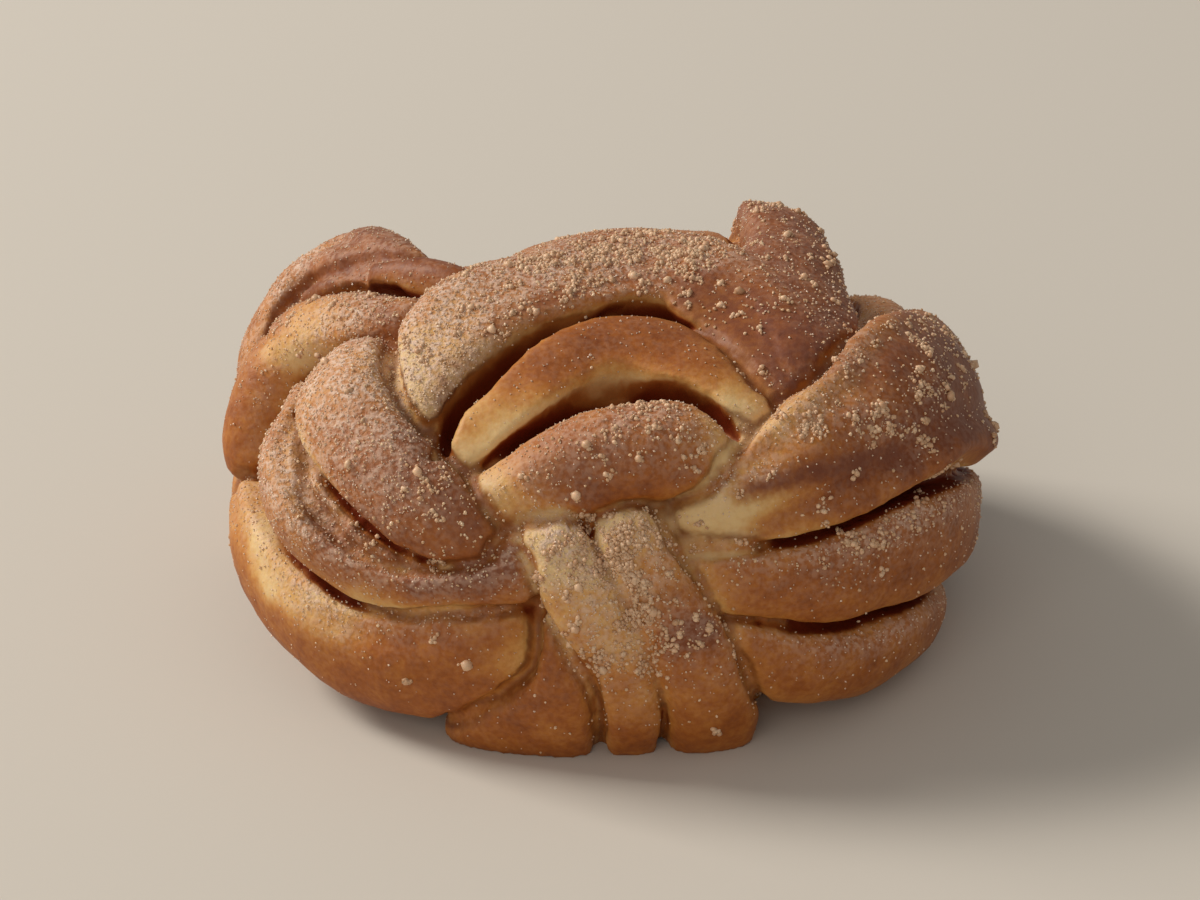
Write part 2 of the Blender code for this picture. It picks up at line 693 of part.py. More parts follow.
def crease(roll):
    """Sinks the skin where two strands meet: steeply on the upper one, and gently on the one under it."""
    mesh = roll.data
    points, edges = points_of(mesh), edges_of(mesh)
    strand_points, strand_numbers, strand_gaps = strand_values()
    near, _ = found_in(tree_of(strand_points), points)
    owners = strand_numbers[near]
    meeting = edges[owners[edges[:, 0]] != owners[edges[:, 1]]]
    seam, away = found_in(tree_of(points[meeting].mean(axis=1)), points)
    levels = np.array([strand.level for strand in STRANDS.values()])[owners]
    first, second = meeting[seam].T
    lower = np.where(levels[first] < levels[second], first, second)
    depth = averaged(strand_gaps[near][lower], edges, 6)
    reach = np.where(levels > levels[lower], UPPER_REACH, depth * LOWER_REACH)
    offsets = points - WAIST_MIDDLE
    lift = np.linalg.norm(offsets, axis=1) * (1 - reach_share(offsets))
    depth *= np.clip((lift - DEEPEST_LIFT) / STOPPING_DEPTH, 0, 1)
    sunk = depth * np.clip(1 - averaged(away, edges, 2) / reach, 0, 1) ** CREASE_SHARPNESS
    normals = averaged(normals_of(mesh), edges, 4)
    normals /= np.linalg.norm(normals, axis=1)[:, None]
    move_points(mesh, points - normals * averaged(sunk, edges, 1)[:, None])


def cut_grooves(roll):
    """Sinks the skin along each groove, straight towards the middle of the roll."""
    points = points_of(roll.data)
    for groove in GROOVES.values():
        centres, _ = smooth_curve([dome_point(*place) for place in groove.path], GROOVE_STATIONS)
        outwards = np.array([dome_normal(centre) for centre in centres])
        near, _ = found_in(tree_of(centres), points)
        offsets = points - centres[near]
        lengthwise = np.sum(offsets * outwards[near], axis=1)[:, None] * outwards[near]
        away = np.linalg.norm(offsets - lengthwise, axis=1)
        share = np.clip(1 - (away / spread(groove.half_width, GROOVE_STATIONS)[near]) ** 2, 0, 1)
        sunk = spread(groove.depth, GROOVE_STATIONS)[near] * np.sqrt(share)
        points -= outwards[near] * sunk[:, None]
    move_points(roll.data, points)


def floor_cutter(collection):
    """A block whose top is the height that the roll rests on."""
    middle = Matrix.Translation((0, 0, -FLOOR_CUTTER_SIDE / 2))
    block = bmesh.new()
    bmesh.ops.create_cube(block, size=FLOOR_CUTTER_SIDE, matrix=middle)
    mesh = bpy.data.meshes.new("floor_cutter")
    block.to_mesh(mesh)
    block.free()
    made = bpy.data.objects.new("floor_cutter", mesh)
    made.display_type = "WIRE"
    made.hide_render = True
    collection.objects.link(made)
    return made


def cut_flat(roll, cutter):
    cut = roll.modifiers.new("flat_base", "BOOLEAN")
    cut.operation = "DIFFERENCE"
    cut.object = cutter
    cut.solver = "MANIFOLD"
    apply_modifiers(roll)


def main():
    for old in list(bpy.data.objects):
        bpy.data.objects.remove(old)
    parts = new_collection("cinnamon_babka_roll")
    strands = new_collection("strands")
    for name, strand in STRANDS.items():
        strand_object(name, strand, strands)
    roll = core_object(parts)
    fuse(roll, strands)
    even_out(roll)
    crease(roll)
    cut_grooves(roll)
    even_out(roll)
    thin_out(roll, MOST_TRIANGLES)
    cutters = new_collection("cutters")
    cutters.hide_render = True
    cut_flat(roll, floor_cutter(cutters))
    lumps = new_collection("sugar_lumps")
    for i, (place, size) in enumerate(lump_places(roll)):
        lump_object(f"sugar_lump_{i}", place, size, lumps)
    fuse(roll, lumps)
    roll.data.materials.clear()
    roll.data.materials.append(crust_material())
    roll.data.shade_smooth()
    roll.data.set_sharp_from_angle(angle=np.radians(SHARP_ANGLE))


main()
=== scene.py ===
"""Looks of the cinnamon babka roll: crust, folds, cinnamon and sugar, shade painted into the creases and
deep folds, a pale floor and soft light.

The strands of dough are those of the solid, made again with finer relief. A place on a strand is
given by its share along the strand, from 0 to 1, and its share round it: 0 is the strand's right
side when it is followed from its start, a quarter is its outermost line, a half its left side, and
three quarters lies inside the roll. Lengths are in millimetres where nothing else is said.
"""
import math
from dataclasses import dataclass

import bmesh
import bpy
import numpy as np
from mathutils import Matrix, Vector, noise
from mathutils.bvhtree import BVHTree
from mathutils.kdtree import KDTree


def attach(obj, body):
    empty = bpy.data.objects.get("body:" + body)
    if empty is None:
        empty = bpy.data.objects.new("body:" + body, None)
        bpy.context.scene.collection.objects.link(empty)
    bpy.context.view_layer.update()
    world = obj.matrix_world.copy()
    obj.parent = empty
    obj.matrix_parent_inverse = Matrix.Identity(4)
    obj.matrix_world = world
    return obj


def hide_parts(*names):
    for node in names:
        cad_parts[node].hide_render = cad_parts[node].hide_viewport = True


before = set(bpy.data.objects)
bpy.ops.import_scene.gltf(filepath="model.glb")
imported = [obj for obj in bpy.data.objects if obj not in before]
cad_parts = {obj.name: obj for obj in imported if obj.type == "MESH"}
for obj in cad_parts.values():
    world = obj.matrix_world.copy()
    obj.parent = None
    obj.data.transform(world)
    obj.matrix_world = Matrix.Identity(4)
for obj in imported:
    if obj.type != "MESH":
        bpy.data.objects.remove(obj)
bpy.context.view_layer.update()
MM = 0.001
NODE = "babka_roll"

# The dome that the strands follow, as in the solid, and the dough inside it
HALF_WIDTH = 54.0
HALF_DEPTH = 46.0
RISE = 31.0
DROP = 45.0
WAIST_MIDDLE = (0.4, 1.4, 24.0)
SQUARENESS = 2.5
CORE_SHRINK = 4.0
CORE_SIDES = 64

# Fineness of the surface
CURVE_STEPS = 24
STATION_STEP = 1.2
FEWEST_STATIONS = 6
SECTION_SIDES = 48
SMALLEST_END = 0.25
FOLD_FADE = 0.12
VOXEL = 0.56
MOST_TRIANGLES = 190000

# The creases between strands: how far they reach on the upper strand, how far on the lower one as a
# share of their depth, how sharply they fall, how far below the dome they end, and over what height
# they fade before that. A narrow slit runs along the bottom of each.
UPPER_REACH = 1.5
LOWER_REACH = 1.15
CREASE_SHARPNESS = 1.7
DEEPEST_LIFT = -9.0
STOPPING_DEPTH = 3.0
SLIT_DEPTH = 0.9
SLIT_HALF_WIDTH = 0.5
GROOVE_STATIONS = 60

# The baked surface: how large each kind of unevenness is, and how high. Wrinkles have a length, a
# number round the strand, and a height. The two shifts give each strand and each seed noise of its
# own. All of it fades towards the base, which has a flat edge.
LUMPS = (10.0, 0.45)
WRINKLES = (16.0, 7.0, 0.28)
BLISTERS = (2.4, 0.12)
SUGAR_BUMP_HEIGHT = 0.5
STRAND_SHIFT = 3.7
SEED_SHIFT = 17.3
BASE_FADE = 2.0
BASE_EDGE = 0.25

# How open a point is: rays leave the skin this far out, none is flatter than this cosine, and one
# that meets the skin counts for at most this share
SKY_DIRECTIONS = 48
SKY_REACH = 26.0
RAY_START = 0.4
FLATTEST_RAY = 0.15
MET_SHARE = 0.6

# How far noise moves a patch along and round its strand. Streaks lie this far above the dome, and
# fade this far above and below that.
PATCH_WANDER = (0.03, 0.02)
STREAK_LIFT = 7.5
STREAK_DEPTH = 8.0
STREAK_STATIONS = 24

# How brown follows how open a point is, and how sugar settles: what stays on a wall, how much more
# on a level top, and how open a place has to be. Clumps bring dust and grains with them.
BROWN_BY_OPENING = 0.5
MIDDLE_OPENING = 0.72
MOTTLING = 0.06
DUST_ON_WALLS = (0.55, 0.75)
GRAINS_ON_WALLS = (0.45, 0.8)
OPENING_SCALE = 1.6
DUST_OPENING = 0.25
GRAIN_OPENING = 0.35
DUST_FROM_CLUMPS = 0.3
GRAINS_FROM_CLUMPS = 0.5
MOST_GRAINS = 2.5
MOST_CLUMPS = 1.2

# Patches of noise: their seed and size, their contrast and shift, and the lowest and highest value
BROAD_PATCHES = (6, 6.5, 0.8, 0, -1, 1)
FINE_PATCHES = (7, 1.9, 3.2, -0.55, -1, 1.8)
BUNCHES = (9, 3.5, 2.5, 0.6, 0, 1.5)
SUGAR_BUMPS = (8, 1.5, 1, 0.3, 0, 1)

# Grains of sugar: how far a bunch spreads, how much of its size a lump of the solid keeps under its
# bunch, how many sides a lump has, and how uneven a grain is as a whole and at its corners
BUNCH_SPREAD = 0.5
LARGEST_SHARE = 0.8
LUMP_SIDES = 20
GRAIN_STRETCH = (0.7, 1.25)
GRAIN_DENTS = (0.8, 1.2)
SEED = 11

# The photograph's camera, in metres and degrees
CAMERA_TARGET = (-0.0007, 0.0014, 0.026)
CAMERA_DISTANCE = 0.495
CAMERA_PITCH = 27.7
CAMERA_LENS = 91.5


@dataclass
class Strand:
    """path holds (bearing, climb, lift), and the other rows are spread evenly from end to end.

    wide and thick are half the strand's width and thickness. A strand lies over its neighbours of a
    lower level, and gap is how far it dips beside the ones that lie over it.
    """
    path: list
    wide: tuple
    thick: tuple
    roll: tuple = (0,)
    corner: float = 2.5
    level: float = 2.0
    gap: tuple = (2,)


@dataclass
class Groove:
    """A narrow gap along a path of bearings and climbs, cut towards the middle of the roll."""
    path: list
    wide: tuple
    depth: tuple
    lift: float = 0.0


@dataclass
class Look:
    """How brown a strand is, and how much cinnamon, fine sugar, grains and clumps it has, from 0 to 1.

    Each of these is one number and then its soft-edged patches: how much a patch adds, its place and
    reach along the strand, and its place and reach round it. A fold runs along the strand as a ridge,
    or as a groove where its height is below 0: its place and reach round the strand, its height, and
    its start and end. The last two numbers of a patch or a fold may be left out.
    """
    brown: tuple = (0.6,)
    spice: tuple = (0.0,)
    dust: tuple = (0.3,)
    grains: tuple = (0.15,)
    clumps: tuple = (0.0,)
    folds: tuple = ()


@dataclass
class Sugar:
    """One kind of sugar: its bunches for each square millimetre and at most, how many grains are in
    a bunch, their smallest and largest radius, the share of that by which they stand out, their
    number of sides, and their darkest and lightest colour."""
    density: float
    most: int
    bunch: int
    radius: tuple
    raised: float
    sides: int
    dark: tuple
    light: tuple


STRANDS = {
    "upper_arch": Strand(
        [(-30, 22, -3), (-43, 34, 0), (-52, 49, 1), (-50, 67, 1), (40, 86, 1), (80, 68, 1), (65, 54, 0.5),
         (53, 43, 0), (45, 33, -1.5), (40, 21, -6)],
        wide=(3, 8, 10, 10.5, 10.5, 10.5, 10, 9, 8, 6), thick=(3, 5.5, 6, 6, 6, 6, 6, 6, 5),
        roll=(0, 8, 8, 5, 5, 10, 15, 10, 0), level=5, gap=(1.3,), corner=3.2),
    "arch_peak": Strand(
        [(147, 4, -4), (145, 20, 0), (140, 34, 4), (133, 43.5, 7), (112, 46.5, 4.8), (86, 46, 1.5),
         (66, 41, 0.5), (53, 33, 0), (46, 24, -4)],
        wide=(8, 7, 5, 3.5, 6.5, 8.5, 9.5, 9, 8), thick=(6, 6, 4.5, 2.5, 5, 6.5, 7, 7, 5), level=5,
        gap=(1.3,), corner=2.4),
    "middle_arch": Strand(
        [(-35, 13, -4.5), (-33.5, 20, -3), (-29, 30, -2.2), (-20, 42.5, -2), (-3, 53, -2.2),
         (16, 52, -2.2), (28.5, 42, -2.2), (32, 30, -2.5), (36, 19, -5)],
        wide=(5, 5.8, 6.2, 6.7, 7.5, 7.5, 7.3, 7.5, 7), thick=(5, 6, 6.3, 6.5, 6.5, 6.5, 6.5, 6.5, 5),
        level=4, gap=(0.6, 1.2, 1.6, 1.2, 0.9, 0.9, 0.9, 0.9, 0.9), corner=2.6),
    "inner_roll": Strand(
        [(-30, 14, -3.5), (-24, 17.3, -1.2), (-13, 22.3, 0), (0, 27.2, 1), (11, 28.2, 1), (21, 26, 0),
         (30, 19.5, -3.5)],
        wide=(4, 6, 7.5, 8, 8, 7.5, 6), thick=(4, 6, 7.5, 8, 8, 7, 5.5), level=3.5,
        gap=(0.6, 1, 1.2, 1.2, 1.2, 1.4, 1.4), corner=2.4),
    "upper_right": Strand(
        [(9.5, 15, -1), (21, 18.5, 0.7), (34, 21, 1.5), (50, 23, 2), (64, 23.5, 3.2), (80, 18, 1),
         (98, 12, -0.5), (114, 4, -0.5), (130, -6, 0), (146, -19, -1), (158, -34, -3)],
        wide=(4.5, 7.5, 10, 12.5, 13.5, 12, 9, 8, 8, 7.5, 6.5),
        thick=(5, 6.8, 8, 8.5, 8.5, 8, 7, 7, 7, 7, 6), roll=(0, 10, 10, 5, 0, 0, 0, 0, 0, 0, 0),
        level=5.5, corner=2.3),
    "behind_right": Strand(
        [(84, 34, -7), (89, 24, -6), (99, 15.5, -5), (116, 11, -2.5), (134, 3, -1.5), (150, -7, -1),
         (166, -18, -4)],
        wide=(5, 7, 8, 8, 8, 7.5, 6), thick=(4, 6, 6.5, 7, 7, 7, 5), level=3, gap=(1.4,), corner=2.4),
    "right_tuck": Strand(
        [(102, 40, -11), (113, 32, -10.5), (124, 21, -9), (132, 10, -6), (138, 0, -4)],
        wide=(5, 7, 7.5, 7.5, 6), thick=(5, 6.5, 7, 7, 6), corner=2.4),
    "peak_tuck": Strand(
        [(146, 8, -5), (142, 22, -4), (135, 34, -2), (123, 39, -3), (106, 40, -5)],
        wide=(5, 6.5, 6.5, 6, 5), thick=(5, 6, 6.5, 6, 5), corner=2.2),
    "middle_right": Strand(
        [(7.5, 8.5, -0.8), (20, 6.5, 0.3), (35, 4, 0.5), (50, 3.5, 0), (66, 1, -1), (86, -7, -1.5),
         (106, -16, -1), (122, -24, -1.5), (136, -34, -3)],
        wide=(5, 6.5, 8.3, 9.3, 9, 7.5, 7, 7, 6), thick=(4.5, 6, 7, 7.5, 8, 7.5, 7, 7, 6), level=2.5,
        gap=(0.6, 1.5, 2.4, 2.4, 2)),
    "lower_right": Strand(
        [(10, -2, -0.8), (21, -6.5, 0), (32, -11.5, 0.5), (44, -14, 0), (57, -15, -1.5), (72, -20, -2.5),
         (90, -27, -3), (104, -36, -5)],
        wide=(5, 6.5, 7.3, 7.3, 7, 6.5, 6, 5), thick=(4.5, 6.5, 7, 7, 7, 6.5, 6, 5), level=2.2,
        gap=(0.6, 1.4, 1.6, 1.4, 1.2)),
    "front_band": Strand(
        [(-13.5, 20, 0.8), (-10, 14, 2.4), (-5, 6, 3.7), (-1, -2, 4.3), (2.5, -11, 4), (4, -20, 3.5),
         (4.4, -31, 2.3)],
        wide=(4.5, 5.5, 6.2, 6.2, 5.4, 5, 5), thick=(4, 5, 5, 5, 5, 5, 5), level=3,
        gap=(1, 0.9, 0.1, 0.1, 0.6, 1.2, 1.2)),
    "front_band_side": Strand(
        [(0.5, 21.5, 0.8), (4, 14, 2.6), (8, 6.5, 3.3), (12.5, -3, 3.8), (16.5, -12, 3.7), (18.5, -20, 3),
         (19, -31, 1.5)],
        wide=(4.5, 5.4, 6.2, 6.7, 7, 7.5, 7.5), thick=(4, 5, 5, 5, 5.5, 5.5, 5.5), level=3.1, gap=(1,)),
    "front_tuck": Strand(
        [(8.5, 21, -1.5), (10, 14.5, 1.2), (12.6, 6.5, 1.6), (16.5, -1.5, 0.3)],
        wide=(2.8, 2.8, 2.6, 2.2), thick=(4, 4.5, 4.5, 4), level=2.8, gap=(0.7,), corner=2.4),
    "front_foot": Strand(
        [(-8.5, 8, -0.5), (-7.5, 1, 1.5), (-6.7, -7, 2.7), (-8.7, -15.5, 3), (-14, -24, 2.3),
         (-17, -32, 1)],
        wide=(3.5, 4.5, 5.7, 9, 13.5, 16), thick=(3, 5, 6, 6, 6, 6), level=1.2),
    "lower_left": Strand(
        [(-11, -1, 0), (-22, -9, 1), (-38, -12.5, 0.8), (-54, -9.5, 0.8), (-68, -6, 0.6), (-84, -5, 0),
         (-102, -10, 0), (-120, -26, -2)],
        wide=(7.5, 10.5, 9.5, 9, 8.5, 8, 7.5, 6), thick=(5, 7, 7, 7, 7, 7, 7, 6), level=1.8,
        gap=(1.2, 1.6, 1.8, 1.5)),
    "middle_left": Strand(
        [(-5, 9, -0.5), (-12.5, 9.3, 0.7), (-21, 7, 0.8), (-32, 4, 1), (-44, 5.5, 1), (-55, 9.5, 1.5),
         (-62, 13.5, 1), (-68, 17.5, -2), (-78, 19, -4)],
        wide=(4.5, 6, 6.3, 6.3, 6.5, 6.5, 6.5, 6, 6), thick=(4, 5.5, 6, 6, 6.5, 7, 6, 6, 6), level=2.6,
        gap=(1, 1.4, 1.6, 2)),
    "middle_left_rim": Strand(
        [(-19, 8.5, -1.5), (-29.5, 8.5, 1.5), (-39, 9, 2.5), (-45, 11, 2.5), (-51, 13.5, 2.5),
         (-57, 17.5, 1.5), (-63, 22, -1.5)],
        wide=(2, 2.6, 2.8, 2.8, 2.8, 2.6, 2), thick=(3, 4, 4.5, 4.5, 4.5, 4, 3), level=2.8, gap=(1.2,),
        corner=2.3),
    "upper_left": Strand(
        [(-15, 11.5, -2), (-25, 13.2, 0.3), (-33, 15.8, 1), (-42, 19.8, 1.5), (-54, 25, 2), (-62, 30, 0),
         (-69, 35, -4)],
        wide=(4, 7.2, 8.2, 8.4, 8.8, 8, 6), thick=(4, 6.8, 7.5, 8, 8, 7, 5), level=4.2, gap=(2, 2, 2.6),
        corner=2.3),
    "left_arc": Strand(
        [(-60, 47, -2), (-74, 39, 0), (-86, 30, 1.5), (-91, 22, 1.5), (-89, 13, 2), (-85, 5, 1.5),
         (-80, -4, -1)],
        wide=(5, 5.5, 6, 6.5, 6.5, 6, 4.5), thick=(4, 5, 6, 6, 6, 6, 4.5), level=4.6, corner=2.4),
    "top_ribbon": Strand(
        [(-72, 60, -0.5), (-88, 51, 2.2), (-98, 42, 3), (-106, 31, 3), (-109, 22, 3), (-105, 15, 2),
         (-100, 8, -1)],
        wide=(3, 3.6, 3.8, 3.8, 3.8, 3.4, 2.5), thick=(3.5, 4.5, 4.5, 4.5, 4, 4, 3), level=4.8,
        gap=(1.4,), corner=2.2),
    "left_shoulder": Strand(
        [(-129, -3, -4), (-125, 9, 0), (-122.5, 19, 3), (-121, 29, 7), (-116.5, 25, 7), (-112, 17, 5),
         (-108, 7, 3), (-107, -5, 2), (-110, -19, 1), (-116, -35, -2)],
        wide=(8, 8, 6.5, 3, 6.5, 9, 9.5, 9, 8.5, 8), thick=(6, 6, 5, 3, 5.5, 7, 7, 7, 7, 6), level=4.3,
        gap=(2.2,), corner=1.8),
    "shoulder_fold": Strand(
        [(-124, 19, 3), (-120, 30, 6), (-111, 38, 5), (-100, 44, 3), (-88, 50, -1)],
        wide=(6, 4.5, 4.5, 4, 3), thick=(5, 4, 4, 4, 3), level=4.3, gap=(1.4,), corner=2),
    "shoulder_front": Strand(
        [(-115, 18, 4), (-114, 25, 4.5), (-108, 34, 3.5), (-99, 42, 1), (-90, 48, -2)],
        wide=(5, 5.5, 5.5, 5, 3), thick=(5, 5, 5, 4.5, 3), level=4.3, gap=(1.4,), corner=2.2),
    "left_tuck": Strand(
        [(-104, 40, -6), (-104, 28, -4), (-102, 14, -3), (-98, 2, -3), (-94, -12, -4)],
        wide=(5, 7, 7, 6, 5), thick=(5, 6.5, 6.5, 6, 5), corner=2.3),
    "shoulder_tuck": Strand(
        [(-118, 22, 0), (-117, 12, 0.5), (-116, 2, 0), (-118, -10, -1)],
        wide=(5, 7, 7, 6), thick=(5, 6, 6, 5), corner=2.3),
    "back_arch": Strand(
        [(-86, 62, -8), (-112, 58, -7.5), (-146, 57, -6), (178, 56, -5), (154, 50, -5), (136, 40, -5),
         (124, 28, -6)],
        wide=(6, 7.5, 8.5, 8.5, 8.5, 8, 5), thick=(5, 6.5, 7, 7, 7, 6.5, 5), corner=2.6),
    "back_inner": Strand(
        [(-108, 34, -10.5), (-126, 33, -10), (-148, 34, -10), (-170, 39, -9.5), (168, 44, -10)],
        wide=(4, 5.5, 6, 6, 4.5), thick=(4, 6, 6.5, 6.5, 5)),
    "back_upper": Strand(
        [(-112, 18, -10), (-130, 15, -9), (-150, 14, -7.5), (-174, 22, -6.5), (168, 31, -6.5),
         (156, 38, -8)],
        wide=(5, 7.5, 8, 8, 7.5, 5), thick=(4, 6.5, 7.5, 7.5, 7, 5)),
    "back_shelf": Strand(
        [(-120, 4, -6), (-136, 1, -3), (-154, 0, -2), (-174, 8, -1.5), (167, 19, -2), (155, 30, -5)],
        wide=(5, 8, 8.5, 8.5, 8, 6), thick=(4, 6.5, 7.5, 7.5, 7, 5)),
    "back_middle": Strand(
        [(-108, -4, -4), (-126, -9, -1), (-146, -12, 0), (-166, -8, 0), (176, 0, -0.5), (163, 11, -2),
         (152, 22, -6)],
        wide=(5, 8, 8.5, 8.5, 8.5, 7.5, 5), thick=(5, 7, 7.5, 7.5, 7.5, 7, 5)),
    "back_lower": Strand(
        [(-110, -18, -4), (-128, -25, -0.5), (-150, -28, 0), (-170, -24, 0), (172, -16, -0.5),
         (160, -5, -2), (150, 5, -6)],
        wide=(5, 8, 8.5, 8.5, 8.5, 8, 5), thick=(5, 7, 7.5, 7.5, 7, 7, 5)),
    "back_band": Strand(
        [(-168, 22, -7), (-162, 15, -1), (-156, 5, 2), (-152, -7, 3), (-151, -19, 2.5), (-153, -33, 0)],
        wide=(4, 5.5, 6.5, 7, 8, 8.5), thick=(4, 5, 5.5, 5.5, 5.5, 5)),
    "back_foot": Strand(
        [(178, -12, -3), (170, -20, -0.5), (160, -26, 0), (150, -33, -2)],
        wide=(5, 7, 7.5, 7), thick=(5, 6.5, 7, 6)),
}

# Strands that run into another with no crease between them
JOINED = {
    "arch_peak": "upper_arch",
    "peak_tuck": "upper_arch",
    "shoulder_fold": "left_shoulder",
    "shoulder_front": "left_shoulder",
    "shoulder_tuck": "left_shoulder",
}

GROOVES = {
    "below_upper_arch": Groove(
        [(-33.5, 23), (-34.8, 31), (-34, 39), (-30, 48.5), (-22.5, 56.5), (-9, 62.5), (9, 65.5)],
        wide=(1.3, 1.8, 1.9, 1.8, 1.5, 1.1, 0.7), depth=(4, 9, 9, 8, 6, 4, 1.5)),
    "below_middle_arch": Groove(
        [(-24.5, 24), (-16.5, 31), (-5.5, 37.5), (5, 40.3), (12, 40.8), (19.3, 38.2), (24, 33.5),
         (26.5, 28.5)],
        wide=(0.9, 1.3, 1.5, 1.7, 1.8, 1.9, 1.9, 1.6), depth=(3, 6, 8, 9, 9, 9, 8, 6)),
    "below_upper_right": Groove(
        [(12.2, 14.8), (16.3, 14), (23, 12.6), (33, 11), (42, 11.5), (53, 11.5), (64, 9.4), (80, 3.5)],
        wide=(0.7, 0.8, 0.8, 0.9, 1.1, 1.1, 0.9, 0.7), depth=(1.5, 2, 2, 3, 5, 5, 4, 2)),
    "below_middle_right": Groove(
        [(17, 1.5), (25.5, -1.7), (34.5, -4), (46.5, -6), (57.5, -7), (66.5, -7.5)],
        wide=(0.4, 0.7, 0.9, 1, 0.9, 0.6), depth=(1, 2, 3, 4, 3, 1)),
    "beside_front_foot": Groove(
        [(-4.8, -0.4), (-2.6, -7.3), (-1.2, -15), (-0.6, -27)],
        wide=(0.5, 0.6, 0.6, 0.6), depth=(1.5, 2, 2, 1.5)),
    "above_ribbon": Groove(
        [(-87.5, 21.5), (-97, 22), (-102.5, 24.5), (-101, 33), (-97.5, 39.5)],
        wide=(0.6, 0.9, 0.9, 0.9, 0.5), depth=(0.5, 1.3, 1.3, 1.3, 0.5), lift=7.5),
    "below_upper_left": Groove(
        [(-52.5, 16.2), (-46, 13.6), (-39.5, 11.2), (-32.6, 8.8), (-25, 8)],
        wide=(0.7, 1.1, 1.1, 0.9, 0.5), depth=(2, 4, 4, 3, 1)),
}

